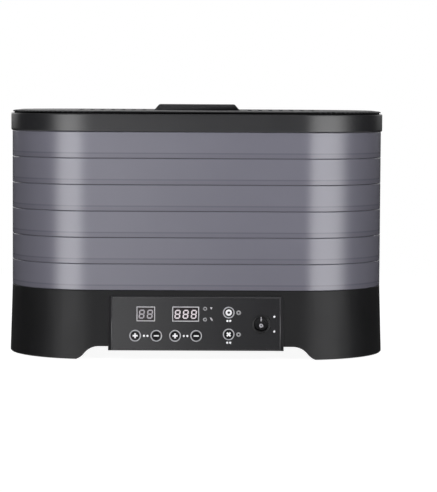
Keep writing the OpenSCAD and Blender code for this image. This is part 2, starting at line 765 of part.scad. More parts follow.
module key(k) {
    flange_top = -panel_wall - fit;
    tip = board_front + tact_floor + tact_play + key_travel;
    color([0.04, 0.04, 0.05]) on_panel(k[1], k[2]) {
        translate([0, 0, flange_top]) cylinder(r = key_r, h = key_proud - flange_top);
        translate([0, 0, flange_top - key_flange_t]) cylinder(r = key_flange_r, h = key_flange_t);
        translate([0, 0, tip]) cylinder(r = stem_r, h = flange_top - tip);
    }
}

module display(u, w) {
    color([0.06, 0.06, 0.06]) on_panel(u, display_v) panel_block(w, display_h, board_front, -display_sink);
}

module indicator_lamps() {
    color([0.85, 0.85, 0.85])
        for (g = [0, 1]) for (v = lamp_v[g])
            on_panel(lamp_u[g], v, board_front) cylinder(r = lamp_r[g], h = lamp_proud - board_front);
}

module control_board() {
    color([0.1, 0.3, 0.16]) difference() {
        on_panel((board_span[0] + board_span[1]) / 2, board_mid_v)
            panel_block(board_span[1] - board_span[0], board_h, board_back, board_front);
        for (u = post_u, v = post_v)
            on_panel(u, v, board_back - cut) cylinder(r = tiny[0] + slack, h = board_t + 2 * cut);
    }
}

module tact_switches() {
    color([0.12, 0.12, 0.12])
        for (k = keys) on_panel(k[1], k[2]) difference() {
            panel_block(tact, tact, board_front, board_front + tact_h);
            translate([0, 0, board_front + tact_floor]) cylinder(r = stem_r + slack / 2, h = tact_h);
        }
}

module control_board_screws() {
    color([0.7, 0.7, 0.72])
        for (u = post_u, v = post_v)
            on_panel(u, v, board_back) screw(tiny, board_t + board_screw_bite);
}

module power_switch_body() {
    floor_z = rocker_pivot - rocker_r - 2 * slack;
    color([0.05, 0.05, 0.05]) on_panel(switch_u, 0) {
        difference() {
            union() {
                cylinder(r = switch_r, h = switch_flange_t);
                translate([0, 0, -switch_depth]) cylinder(r = switch_body_r, h = switch_depth + 0.5);
            }
            translate([0, 0, floor_z]) cylinder(r = switch_bore, h = switch_flange_t - floor_z + cut);
            for (s = [-1, 1])
                translate([0, 0, rocker_pivot]) rotate([0, s * 90, 0])
                    cylinder(r = rocker_pin_r + fit, h = rocker_r + rocker_pin_l + 2 * fit);
        }
        for (v = [-switch_tab_v, switch_tab_v])
            translate([-switch_tab.x / 2, v - switch_tab.y / 2, -switch_depth - switch_tab.z])
                cube(switch_tab + [0, 0, slack]);
    }
}

// Two flats meet in a shallow V; at rest the upper half is pressed in
module power_switch_rocker() {
    big = 3 * rocker_r;
    color([0.07, 0.07, 0.07])
        on_panel(switch_u, 0, rocker_pivot) rotate([-rocker_swing, 0, 0]) {
            difference() {
                sphere(r = rocker_r);
                for (s = [-1, 1])
                    rotate([s * rocker_hollow, 0, 0])
                        translate([-big / 2, s == 1 ? 0 : -big, rocker_crown]) cube(big);
                translate([-big / 2, -big / 2, -big - rocker_foot]) cube(big);
            }
            for (s = [-1, 1])
                rotate([0, s * 90, 0]) translate([0, 0, rocker_r - 1])
                    cylinder(r = rocker_pin_r, h = 1 + rocker_pin_l);
        }
}

// ---- Mains inlet ----

module inlet_socket() {
    color([0.06, 0.06, 0.06]) translate([inlet_x, inlet_face, inlet_z]) rotate([90, 0, 0]) difference() {
        union() {
            translate([-inlet_flange.x / 2, -inlet_flange.y / 2, 0]) cube(inlet_flange);
            translate([-inlet_body.x / 2, -inlet_body.y / 2, 0]) cube(inlet_body);
        }
        translate([-inlet_well.x / 2, -inlet_well.y / 2, -cut]) cube(inlet_well + [0, 0, cut]);
        for (s = [-1, 1])
            translate([s * inlet_screw_x, 0, 0]) {
                cylinder(r1 = tapping[1] + fit, r2 = tapping[0] + fit, h = tapping[2]);
                translate([0, 0, -cut]) cylinder(r = tapping[0] + fit, h = inlet_flange.z + 2 * cut);
            }
        for (p = inlet_pin_places())
            translate([p.x - inlet_pin.x / 2 - fit, p.y - inlet_pin.y / 2 - fit, inlet_well.z - cut])
                cube([inlet_pin.x + 2 * fit, inlet_pin.y + 2 * fit, inlet_body.z]);
    }
}

function inlet_pin_places() = [[-7, -2], [7, -2], [0, 2]];

module inlet_pins() {
    color([0.78, 0.66, 0.4]) translate([inlet_x, inlet_face, inlet_z]) rotate([90, 0, 0])
        for (p = inlet_pin_places())
            translate([p.x - inlet_pin.x / 2, p.y - inlet_pin.y / 2, inlet_pin_in])
                cube([inlet_pin.x, inlet_pin.y, inlet_body.z + inlet_pin_out - inlet_pin_in]);
}

module inlet_screws() {
    color([0.6, 0.6, 0.62])
        for (s = [-1, 1])
            translate([inlet_x + s * inlet_screw_x, inlet_face, inlet_z]) rotate([-90, 0, 0])
                flush_screw(tapping, inlet_screw_l);
}

// ---- Power board ----

module power_board() {
    color([0.12, 0.32, 0.18]) difference() {
        translate([power_x - power_w / 2, -power_d / 2, power_z]) cube([power_w, power_d, power_t]);
        for (p = power_holes)
            translate([p.x, p.y, power_z - cut]) cylinder(r = tiny[0] + slack, h = power_t + 2 * cut);
    }
}

module power_components() {
    top = power_z + power_t;
    color([0.9, 0.9, 0.86]) {
        for (y = plug_y) translate([power_face - plug_w, y - plug_d / 2, top]) cube([plug_w, plug_d, plug_h]);
        translate([header.x, header.y, top]) cube([header.z, header_d, header_h]);
    }
    // transformer, relay, filter capacitor and the heat sink of the heater's switch
    color([0.85, 0.7, 0.2]) translate([power_x - 34, -30, top]) cube(transformer);
    color([0.1, 0.2, 0.45]) translate([power_x - 32, 12, top]) cube(relay);
    color([0.08, 0.08, 0.1]) translate([power_x + 4, 16, top]) cylinder(r = filter_r, h = filter_h);
    color([0.75, 0.76, 0.78]) translate([power_x + 8, -18, top]) cube(heat_sink);
}

module power_board_screws() {
    color([0.7, 0.7, 0.72])
        for (p = power_holes)
            translate([p.x, p.y, power_z + power_t]) mirror([0, 0, 1]) screw(tiny, power_t + power_screw_bite);
}

// ---- Fan and heater ----

module fan_frame() {
    color([0.08, 0.08, 0.08]) translate([0, 0, fan_z]) difference() {
        union() {
            difference() {
                slab(fan_side, fan_side, fan_corner_r, fan_t);
                translate([0, 0, -cut]) cylinder(r = duct_r, h = fan_t + 2 * cut);
            }
            cylinder(r = hub_r, h = fan_plate);
            for (a = [45:90:315])
                rotate([0, 0, a]) translate([hub_r - 2, -strut_w / 2, 0])
                    cube([duct_r - hub_r + 4, strut_w, fan_plate]);
            cylinder(r = bearing_r, h = fan_t - bearing_end);
        }
        translate([0, 0, 1]) cylinder(r = shaft_r + fit, h = fan_t);
        for (sx = [-1, 1], sy = [-1, 1])
            translate([sx * fan_hole, sy * fan_hole, -cut])
                cylinder(r = long_tapping[0] + slack, h = fan_t + 2 * cut);
    }
}

module fan_motor() {
    color([0.72, 0.45, 0.2]) translate([0, 0, fan_z + fan_plate]) ring_of(motor_r, bearing_r + fit, motor_h);
}

module fan_rotor() {
    hub_z = fan_top - hub_sink - hub_t;
    shaft_z = fan_z + fan_plate - 0.5;    // the shaft's foot, in its blind bearing
    blade_l = duct_r - tip_gap - hub_r;
    color([0.1, 0.1, 0.1]) {
        translate([0, 0, hub_z]) difference() {
            cylinder(r = hub_r, h = hub_t);
            translate([0, 0, -cut]) cylinder(r = hub_r - hub_wall, h = hub_t - hub_wall + cut);
        }
        translate([0, 0, shaft_z]) cylinder(r = shaft_r, h = hub_z + hub_t - hub_wall - shaft_z);
        intersection() {
            translate([0, 0, hub_z]) ring_of(duct_r - tip_gap, hub_r - 1, hub_t);
            for (k = [0:blade_count - 1])
                rotate([0, 0, 360 * k / blade_count]) translate([hub_r - 1.5, 0, hub_z + hub_t / 2])
                    rotate([blade_pitch, 0, 0]) translate([0, -hub_t, -blade_t / 2])
                        cube([blade_l + 4, 2 * hub_t, blade_t]);
        }
    }
}

module fan_screws() {
    color([0.6, 0.6, 0.62])
        for (sx = [-1, 1], sy = [-1, 1])
            translate([sx * fan_hole, sy * fan_hole, fan_z]) screw(long_tapping, fan_t + fan_screw_bite);
}

// Two mica strips that cross, with seats for the coils
module heater_support() {
    reach = outlet_r - slack;
    color([0.75, 0.7, 0.6]) difference() {
        for (a = [0, 90])
            rotate([0, 0, a + 45]) translate([-reach, -mica_t / 2, fan_top + slack])
                cube([2 * reach, mica_t, mica_h]);
        for (r = coil_rings) coil(r, coil_r + fit);
    }
}

module coil(r, wire) {
    translate([0, 0, coil_z]) rotate_extrude() translate([r, 0]) circle(wire, $fn = coil_sides);
}

module heater_coils() {
    color([0.5, 0.42, 0.38]) for (r = coil_rings) coil(r, coil_r);
}

// Bimetal cutout, riveted to a mica strip between two coils
module thermal_cutout() {
    color([0.85, 0.82, 0.75]) cutout_frame() cylinder(r = cutout_r, h = cutout_h);
}

// Its own frame stands on the strip's face, with z away from the strip
module cutout_frame() {
    rotate([0, 0, 135]) translate([cutout_at, mica_t / 2, coil_z]) rotate([-90, 0, 0]) children();
}

module outlet_grille() {
    color([0.13, 0.13, 0.14]) {
        translate([0, 0, deck_z]) {
            ring_of(grille_r, outlet_r - grille_bar, grille_t);
            for (r = grille_rings) ring_of(r + grille_bar / 2, r - grille_bar / 2, grille_t);
            cylinder(r = grille_bar * 1.5, h = grille_t);
            for (a = [0:45:315])
                rotate([0, 0, a]) translate([grille_bar, -grille_bar / 2, 0])
                    cube([outlet_r - 3, grille_bar, grille_t]);
        }
        // legs that clip inside the outlet
        for (a = [0:90:270]) rotate([0, 0, a])
            translate([outlet_r - 2 * slack - grille_leg.x, -grille_leg.y / 2, deck_z - grille_leg.z])
                cube(grille_leg);
    }
}

// Stands up through the deck, in the warm air beside the outlet
module temperature_probe() {
    color([0.8, 0.8, 0.82]) translate([probe_x, 0, probe_foot]) {
        cylinder(r = probe_r, h = deck_z + probe_proud - probe_foot);
        translate([0, 0, deck_under - probe_foot - probe_collar_t])
            cylinder(r = probe_collar_r, h = probe_collar_t);
    }
}

// ---- Wiring ----

module leads(routes, r = wire_r) {
    color([0.12, 0.12, 0.12]) for (p = routes) tube(p, r);
}

// A route between two pieces: straight out of each, then along a way moved beside its neighbours
function lead(from, out, way, to, into, shift = [0, 0, 0]) =
    concat([from, from + lead_in * out], [for (p = way) p + shift], [to + lead_in * into, to]);

// A place at a connector's mouth on the power board
function plug(n, k) = [power_face + wire_gap, plug_y[n], plug_z + k * wire_step];

// Straight back from the panel
function inward() = [0, cos(panel_tilt), -sin(panel_tilt)];

function mains_leads() = [for (k = [0:2])
    let (p = inlet_pin_places()[k])
        lead([inlet_x + p.x, pin_end, inlet_z + p.y], [0, -1, 0], mains_way, plug(0, k), [1, 0, 0],
             [0, 0, k * wire_step])];

function switch_leads() = [for (k = [0, 1])
    lead(panel_point(switch_u, (k - 0.5) * 2 * switch_tab_v, -switch_depth - switch_tab.z - wire_gap), inward(),
         switch_way, plug(3, k), [1, 0, 0], [0, 0, k * wire_step])];

function heater_leads() =
    let (half = [0, wire_step / 2, 0])
        [lead([-coil_rings[2], -half.y, heater_lead_z], [-1, 0, 0], heater_way,
              plug(1, 0) - half, [1, 0, 0], -half),
         lead(cutout_face(), [-1, -1, 0] / sqrt(2), concat(cutout_way, heater_way),
              plug(1, 0) + half, [1, 0, 0], half)];

// Middle of the cutout's free face
function cutout_face() =
    let (out = mica_t / 2 + cutout_h + wire_gap)
        [-(cutout_at + out) / sqrt(2), (cutout_at - out) / sqrt(2), coil_z];

function fan_leads() = [for (k = [0, 1])
    let (beside = [0, k * wire_step, 0])
        lead([-fan_side / 2 - wire_gap, fan_way[0].y, fan_way[0].z] + beside, [-1, 0, 0], fan_way,
             plug(2, 0) + beside, [1, 0, 0], beside)];

function probe_leads() = [for (k = [0, 1])
    let (beside = [(k - 0.5) * thin_wire_step, 0, 0])
        lead([probe_x, 0, probe_foot - wire_gap] + beside, [0, 0, -1], probe_way,
             panel_point(probe_lead_u[k], 0, board_back - wire_gap), inward(), beside)];

function ribbon_leads() = [for (k = [-2:2])
    let (beside = [k * ribbon_step, 0, 0])
        lead(panel_point(ribbon_u + beside.x, 0, board_back - wire_gap), inward(), ribbon_way,
             [header.x + header.z / 2, header.y - wire_gap, power_z + power_t + header_h / 2 - 0.1] + beside,
             [0, -1, 0], beside)];

// ---- Lid ----

// Cross-section of the whole lid, with its rounded top edge; x as in band()
module lid_outline() {
    rim = corner_r + lid_overhang;
    translate([0, stack_top]) square([rim - lid_round, lid_top - stack_top]);
    translate([0, stack_top]) square([rim, lid_top - lid_round - stack_top]);
    intersection() {
        translate([rim - lid_round, lid_top - lid_round]) circle(lid_round);
        translate([rim - lid_round, lid_top - lid_round]) square(2 * lid_round);
    }
}

module lid_frame() {
    o = -lid_overhang;
    color([0.16, 0.16, 0.17]) difference() {
        band() intersection() {
            lid_outline();
            polygon([
                at(o + 1, stack_top), at(o, stack_top + 1), at(o - cut, stack_top + 1),
                at(o - cut, lid_shoulder), at(spigot_in - slack, lid_shoulder), at(spigot_in - slack, lid_seat),
                at(flange_in, lid_seat), at(flange_in, lid_seat - flange_t), at(ring_wall, lid_seat - flange_t),
                at(ring_wall, stack_top)]);
        }
        for (p = lid_screws_at())
            translate([p.x, p.y, stack_top]) cylinder(r = tapping[0] + slack, h = lid_skirt_h);
    }
}

function lid_screws_at() =
    [for (sx = [-1, 1], sy = [-1, 1]) each [
        [sx * lid_screw_x, sy * (stack_d / 2 - lid_screw_in)],
        [sx * (stack_w / 2 - lid_screw_in), sy * lid_screw_y]]];

module lid_panel() {
    rim = spigot_in + slack;              // inset of the spigot that drops into the frame
    color([0.2, 0.2, 0.21]) difference() {
        union() {
            band() intersection() {
                lid_outline();
                translate([corner_r - rim - spigot_t, lid_under])
                    square([rim + spigot_t + 2 * lid_round, lid_top]);
            }
            translate([0, 0, lid_top - lid_panel_t]) stack_slab(rim, lid_panel_t);
            translate([0, 0, lid_seat]) band()
                translate([corner_r - rim - spigot_t, 0]) square([spigot_t, lid_top - lid_seat]);
            for (p = lid_screws_at())
                translate([p.x, p.y, lid_seat]) cylinder(r = lid_boss_r, h = lid_top - lid_seat);
            translate([0, 0, well_floor - well_wall])
                slab(well_w + 2 * well_wall, well_d + 2 * well_wall, well_r + well_wall,
                     well_depth + well_wall);
        }
        translate([0, 0, well_floor]) slab(well_w, well_d, well_r, well_depth + cut);
        for (p = lid_screws_at())
            translate([p.x, p.y, lid_seat - cut])
                cylinder(r = tapping[0] + fit, h = lid_screw_l - flange_t + 0.4 + cut);
        for (s = [-1, 1], k = [0:vent_count - 1])
            translate([s * (vent_x0 + k * vent_pitch) - vent_w / 2, -vent_l / 2, lid_seat])
                cube([vent_w, vent_l, lid_top - lid_seat + cut]);
        for (s = [-1, 1])
            translate([s * grip_screw_x, 0, lid_top - lid_panel_t - cut])
                cylinder(r = tapping[0] + slack, h = lid_panel_t + 2 * cut);
    }
}

module lid_screws() {
    color([0.6, 0.6, 0.62]) for (p = lid_screws_at()) translate([p.x, p.y, lid_seat - flange_t])
        screw(tapping, lid_screw_l);
}

// A bar with sloping ends that bridges the finger well
module lid_grip() {
    slope = grip_h * grip_lean;
    color([0.12, 0.12, 0.13]) translate([0, 0, lid_top]) difference() {
        translate([0, grip_w / 2, 0]) rotate([90, 0, 0]) linear_extrude(grip_w)
            polygon([[-grip_l / 2, 0], [grip_l / 2, 0],
                     [grip_l / 2 - slope, grip_h], [slope - grip_l / 2, grip_h]]);
        // hollow underneath, for the fingertips
        translate([0, 0, -cut]) slab(well_w - 6, grip_w - 8, 4, grip_hollow + cut);
        for (s = [-1, 1])
            translate([s * grip_screw_x, 0, -cut])
                cylinder(r = tapping[0] + fit, h = grip_screw_bite + 0.2 + cut);
    }
}

module grip_screws() {
    color([0.6, 0.6, 0.62])
        for (s = [-1, 1])
            translate([s * grip_screw_x, 0, lid_top - lid_panel_t])
                screw(tapping, lid_panel_t + grip_screw_bite);
}

// ---- Assembly ----

base_housing();
deck_plate();
bottom_cover();
foot_pads();
cover_screws();
control_panel();
panel_overlay();
key_trim_rings();
display(hours_u, hours_display_w);  // hours_display
display(temp_u, temp_display_w);  // temperature_display
indicator_lamps();
control_board();
tact_switches();
control_board_screws();
power_switch_body();
power_switch_rocker();
for (k = keys) key(k);
inlet_socket();
inlet_pins();
inlet_screws();
power_board();
power_components();
power_board_screws();
fan_frame();
fan_motor();
fan_rotor();
fan_screws();
heater_support();
heater_coils();
thermal_cutout();
outlet_grille();
temperature_probe();
leads(mains_leads());  // mains_wires
leads(switch_leads());  // switch_wires
leads(heater_leads());  // heater_wires
leads(fan_leads());  // fan_wires
leads(probe_leads(), thin_wire_r);  // probe_wires
leads(ribbon_leads(), thin_wire_r);  // panel_ribbon
for (i = [1:ring_count]) tray_ring(i);
spool_grate(1);  // spool_grate_lower
spool_grate(1 + bay_rings);  // spool_grate_upper
lid_frame();
lid_panel();
lid_grip();
lid_screws();
grip_screws();
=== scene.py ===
# Filament dryer box: six smoke-grey tray rings on a heated base, under a vented lid with a grip
import bpy, bmesh
from math import radians, sin, cos, pi, tan, asin
from mathutils import Matrix, Vector
from mathutils.geometry import tessellate_polygon


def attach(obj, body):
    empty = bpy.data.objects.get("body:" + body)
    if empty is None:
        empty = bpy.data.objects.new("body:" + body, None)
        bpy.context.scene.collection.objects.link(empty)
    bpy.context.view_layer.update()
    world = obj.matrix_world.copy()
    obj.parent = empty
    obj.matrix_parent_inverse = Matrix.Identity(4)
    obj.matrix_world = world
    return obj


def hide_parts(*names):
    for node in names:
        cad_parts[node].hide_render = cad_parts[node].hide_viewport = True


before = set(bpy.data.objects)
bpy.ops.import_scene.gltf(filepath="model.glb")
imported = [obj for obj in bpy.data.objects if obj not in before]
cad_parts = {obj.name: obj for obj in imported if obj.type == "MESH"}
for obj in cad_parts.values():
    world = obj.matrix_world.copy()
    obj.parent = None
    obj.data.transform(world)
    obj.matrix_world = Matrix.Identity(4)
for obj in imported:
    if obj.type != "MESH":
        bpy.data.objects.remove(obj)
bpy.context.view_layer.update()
scene = bpy.context.scene
mm = 0.001
print("frame loaded,", len(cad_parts), "nodes")

# Camera: a long lens just above the lid, looking slightly down
shot = {"place": (0, -2.146, 0.2452), "down": 3.974, "right": 0.57, "roll": 0.314, "lens": 163.2}
cameraData = bpy.data.cameras.new("productCamera")
cameraData.lens = shot["lens"]
cameraData.sensor_width = 36
camera = bpy.data.objects.new("productCamera", cameraData)
camera.matrix_world = (Matrix.Translation(shot["place"])
                       @ Matrix.Rotation(radians(-shot["right"]), 4, "Z")
                       @ Matrix.Rotation(radians(90 - shot["down"]), 4, "X")
                       @ Matrix.Rotation(radians(shot["roll"]), 4, "Z"))
scene.collection.objects.link(camera)
scene.camera = camera
scene.view_settings.view_transform = "Standard"
print("camera set")


def linear(hexText):  # an sRGB hex value as the linear colour that shaders take
    parts = [int(hexText[i:i + 2], 16) / 255 for i in (1, 3, 5)]
    return tuple(c / 12.92 if c <= 0.04045 else ((c + 0.055) / 1.055) ** 2.4 for c in parts) + (1,)


def addNode(tree, kind, settings=None, sockets=None):  # a socket's value may be a node or a node's output
    node = tree.nodes.new(kind)
    for name, value in (settings or {}).items():
        setattr(node, name, value)
    for key, value in (sockets or {}).items():
        if isinstance(value, bpy.types.Node):
            value = value.outputs[0]
        if isinstance(value, bpy.types.NodeSocket):
            tree.links.new(value, node.inputs[key])
        else:
            node.inputs[key].default_value = value
    return node


def newMaterial(name):
    material = bpy.data.materials.new(name)
    material.use_nodes = True
    material.node_tree.nodes.clear()
    return material, material.node_tree


def closeMaterial(tree, shader):
    addNode(tree, "ShaderNodeOutputMaterial", None, {"Surface": shader})


def addObject(name, data):
    item = bpy.data.objects.new(name, data)
    scene.collection.objects.link(item)
    return item


def evaluatedMesh(carrier):  # what an object's modifiers make, as a plain mesh; the object goes
    graph = bpy.context.evaluated_depsgraph_get()
    mesh = bpy.data.meshes.new_from_object(carrier.evaluated_get(graph))
    bpy.data.objects.remove(carrier)
    return mesh


def creased(mesh, angle):
    mesh.shade_smooth()
    mesh.set_sharp_from_angle(angle=radians(angle))
    return mesh


def addPiece(name, mesh, body, material, replaced, crease):
    mesh.materials.clear()
    mesh.materials.append(material)
    piece = addObject(name, creased(mesh, crease))
    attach(piece, body)
    if replaced:
        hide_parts(*replaced)
    return piece


def writeMesh(bm, mesh):
    bm.to_mesh(mesh)
    bm.free()
    return mesh


def closedMesh(bm, mesh):  # doubles merged, faces outwards
    bmesh.ops.remove_doubles(bm, verts=bm.verts, dist=1e-7)
    bmesh.ops.recalc_face_normals(bm, faces=bm.faces)
    return writeMesh(bm, mesh)


def meshFrom(bm, name):
    return closedMesh(bm, bpy.data.meshes.new(name))


def facingOut(mesh):
    bm = bmesh.new()
    bm.from_mesh(mesh)
    return closedMesh(bm, mesh)


# Rounds the corners (x, y, radius) of a closed outline, with a support point on each side of a round
def roundedOutline(corners, steps=3):
    points = []
    count = len(corners)
    for i, (x, y, r) in enumerate(corners):
        here = Vector((x, y))
        back = Vector(corners[i - 1][:2]) - here
        ahead = Vector(corners[(i + 1) % count][:2]) - here
        if r <= 0 or back.length < 1e-6 or ahead.length < 1e-6:
            points.append(here)
            continue
        turn = back.angle(ahead)
        reach = min(r / tan(turn / 2), 0.45 * back.length, 0.45 * ahead.length)
        r = reach * tan(turn / 2)
        a, b = back.normalized(), ahead.normalized()
        centre = here + (a + b).normalized() * (r / sin(turn / 2))
        first, last = here + a * reach, here + b * reach
        if reach * 1.5 < 0.5 * back.length:
            points.append(here + a * reach * 1.5)
        spread = (first - centre).angle_signed(last - centre)
        for k in range(steps + 1):
            points.append(centre + Matrix.Rotation(-spread * k / steps, 2) @ (first - centre))
        if reach * 1.5 < 0.5 * ahead.length:
            points.append(here + b * reach * 1.5)
    return points


# A turned piece from (radius, height) points in mm. Its outline ends on the axis when closed is False
def turnedPart(bm, outline, place=Matrix(), steps=48, closed=True):
    loops = []
    for r, h in outline:
        if r < 1e-6:
            loops.append([bm.verts.new(place @ Vector((0, 0, h * mm)))] * steps)
        else:
            loops.append([bm.verts.new(place @ Vector((r * mm * cos(2 * pi * k / steps),
                                                       r * mm * sin(2 * pi * k / steps), h * mm)))
                          for k in range(steps)])
    pairs = list(zip(loops, loops[1:] + loops[:1])) if closed else list(zip(loops, loops[1:]))
    for low, high in pairs:
        for k in range(steps):
            ring = [low[k], low[(k + 1) % steps], high[(k + 1) % steps], high[k]]
            corners = [v for n, v in enumerate(ring) if v not in ring[:n]]
            if len(corners) > 2:
                bm.faces.new(corners)


# A flat plate with holes, between two heights in mm
def cutPlate(bm, outer, holes, low, high, place=Matrix()):
    loops = [outer] + list(holes)
    flat = [[Vector((x, y, 0)) for x, y in loop] for loop in loops]
    spots = [spot for loop in flat for spot in loop]
    levels = [[bm.verts.new(place @ Vector((p.x * mm, p.y * mm, h * mm))) for p in spots]
              for h in (low, high)]
    for level in levels:
        for corners in tessellate_polygon(flat):
            if len(set(corners)) == 3:
                bm.faces.new([level[k] for k in corners])
    start = 0
    for loop in loops:
        for k in range(len(loop)):
            a, b = start + k, start + (k + 1) % len(loop)
            bm.faces.new([levels[0][a], levels[0][b], levels[1][b], levels[1][a]])
        start += len(loop)


def circlePoints(x, y, r, steps=32):
    return [(x + r * cos(2 * pi * k / steps), y + r * sin(2 * pi * k / steps)) for k in range(steps)]


def boxPoints(x, y, w, h, r=0.0):
    corners = [(x + a * w / 2, y + b * h / 2, r) for a, b in ((-1, -1), (1, -1), (1, 1), (-1, 1))]
    return [tuple(p) for p in roundedOutline(corners)] if r else [c[:2] for c in corners]


def crossPoints(arm, half):  # an upright cross with arms of 2 * half across
    return [(-half, -arm), (half, -arm), (half, -half), (arm, -half), (arm, half), (half, half), (half, arm),
            (-half, arm), (-half, half), (-arm, half), (-arm, -half), (-half, -half)]


# A copy of a moulded node whose sharp edges are softened where wanted says so
def softCopy(node, width, wanted=None, steps=3, sharp=50):
    bm = bmesh.new()
    bm.from_mesh(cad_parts[node].data)
    bmesh.ops.remove_doubles(bm, verts=bm.verts, dist=2e-6)
    bmesh.ops.dissolve_limit(bm, angle_limit=radians(0.5), verts=bm.verts, edges=bm.edges)
    edges = [e for e in bm.edges if len(e.link_faces) == 2 and e.calc_face_angle(0) > radians(sharp)
             and (wanted is None or wanted([v.co / mm for v in e.verts]))]
    bmesh.ops.bevel(bm, geom=edges, offset=width * mm, offset_type="OFFSET", segments=steps, profile=0.5,
                    affect="EDGES", clamp_overlap=True, loop_slide=True)
    carrier = addObject(node + "Soft", creased(meshFrom(bm, node + "Soft"), 50))
    modifier = carrier.modifiers.new("evenNormals", "WEIGHTED_NORMAL")  # flats stay flat beside their rounds
    modifier.keep_sharp = True
    return evaluatedMesh(carrier)


# A geometry tree starts with its named inputs, each a (label, socket type, value or None)
def newTree(name, inputs):
    tree = bpy.data.node_groups.new(name, "GeometryNodeTree")
    tree.interface.new_socket("Geometry", in_out="INPUT", socket_type="NodeSocketGeometry")
    for label, kind, value in inputs:
        socket = tree.interface.new_socket(label, in_out="INPUT", socket_type=kind)
        if value is not None:
            socket.default_value = value
    tree.interface.new_socket("Geometry", in_out="OUTPUT", socket_type="NodeSocketGeometry")
    return tree, tree.nodes.new("NodeGroupInput").outputs


def endTree(tree, geometry, material):
    whole = addNode(tree, "GeometryNodeRealizeInstances", None, {0: geometry})
    dressed = addNode(tree, "GeometryNodeSetMaterial", None, {0: whole, "Material": material})
    addNode(tree, "NodeGroupOutput", None, {0: dressed})


# Runs a tree once on some points and keeps the plain mesh
def growMesh(name, tree, values, points=()):
    seed = bpy.data.meshes.new(name + "Seed")
    seed.from_pydata([Vector(p) * mm for p in points], [], [])
    carrier = addObject(name + "Seed", seed)
    modifier = carrier.modifiers.new("grow", "NODES")
    modifier.node_group = tree
    for item in tree.interface.items_tree:
        if item.in_out == "INPUT" and item.name in values:
            modifier[item.identifier] = values[item.name]
    mesh = evaluatedMesh(carrier)
    mesh.name = name
    return mesh


# The stack's outline and heights in mm
stack = {"width": 346, "depth": 250, "corner": 80, "cornerSteps": 28, "base": 64, "pitch": 24, "rings": 6}

# A moulding of one cross-section around the rounded outline of the stack
bandTree, given = newTree("bandAroundStack", [
    ("Width", "NodeSocketFloat", 0.346), ("Depth", "NodeSocketFloat", 0.25),
    ("Corner", "NodeSocketFloat", 0.08), ("Corner Steps", "NodeSocketInt", 28),
    ("Section", "NodeSocketObject", None), ("Material", "NodeSocketMaterial", None)])
outline = addNode(bandTree, "GeometryNodeCurvePrimitiveQuadrilateral", {"mode": "RECTANGLE"},
                  {"Width": given["Width"], "Height": given["Depth"]})
rounded = addNode(bandTree, "GeometryNodeFilletCurve", {"mode": "POLY"},
                  {"Curve": outline, "Count": given["Corner Steps"], "Radius": given["Corner"]})
section = addNode(bandTree, "GeometryNodeObjectInfo", None, {"Object": given["Section"]})
swept = addNode(bandTree, "GeometryNodeCurveToMesh", None,
                {"Curve": rounded, "Profile Curve": section.outputs["Geometry"]})
endTree(bandTree, swept, given["Material"])


# Section points are (inset, height, radius) in mm, inset counted inwards from the outer face
def bandMesh(name, section, material, inset=0.0, lift=0.0):
    spots = roundedOutline(section)
    curve = bpy.data.curves.new(name + "Section", "CURVE")
    spline = curve.splines.new("POLY")
    spline.points.add(len(spots) - 1)
    for point, spot in zip(spline.points, spots):
        point.co = (-(spot.x - inset) * mm, -(spot.y + lift) * mm, 0, 1)
    spline.use_cyclic_u = True
    holder = addObject(name + "Section", curve)
    mesh = growMesh(name, bandTree, {
        "Width": (stack["width"] - 2 * inset) * mm, "Depth": (stack["depth"] - 2 * inset) * mm,
        "Corner": (stack["corner"] - inset) * mm, "Corner Steps": stack["cornerSteps"], "Section": holder,
        "Material": material})
    bpy.data.objects.remove(holder)
    return facingOut(mesh)


# Copies of one small part on given places, each turned about its own axis by a seeded angle
copyTree, given = newTree("copiesOnPlaces", [
    ("Part", "NodeSocketObject", None), ("Turn", "NodeSocketFloat", 0.0), ("Seed", "NodeSocketInt", 3),
    ("Material", "NodeSocketMaterial", None)])
part = addNode(copyTree, "GeometryNodeObjectInfo", None, {"Object": given["Part"]})
spots = addNode(copyTree, "GeometryNodeMeshToPoints", None, {0: given["Geometry"]})
placed = addNode(copyTree, "GeometryNodeInstanceOnPoints", None,
                 {"Points": spots, "Instance": part.outputs["Geometry"]})
turn = addNode(copyTree, "FunctionNodeRandomValue", {"data_type": "FLOAT"},
               {"Max": given["Turn"], "Seed": given["Seed"]})
about = addNode(copyTree, "ShaderNodeCombineXYZ", None, {"Z": turn.outputs[1]})
twisted = addNode(copyTree, "GeometryNodeRotateInstances", None,
                  {"Instances": placed, "Rotation": about, "Local Space": True})
endTree(copyTree, twisted, given["Material"])


def copiesMesh(name, partMesh, places, material, turn=0.0, seed=3):
    holder = addObject(name + "Part", partMesh)
    values = {"Part": holder, "Turn": turn, "Seed": seed, "Material": material}
    mesh = growMesh(name, copyTree, values, places)
    bpy.data.objects.remove(holder)
    return facingOut(mesh)


print("tools ready")


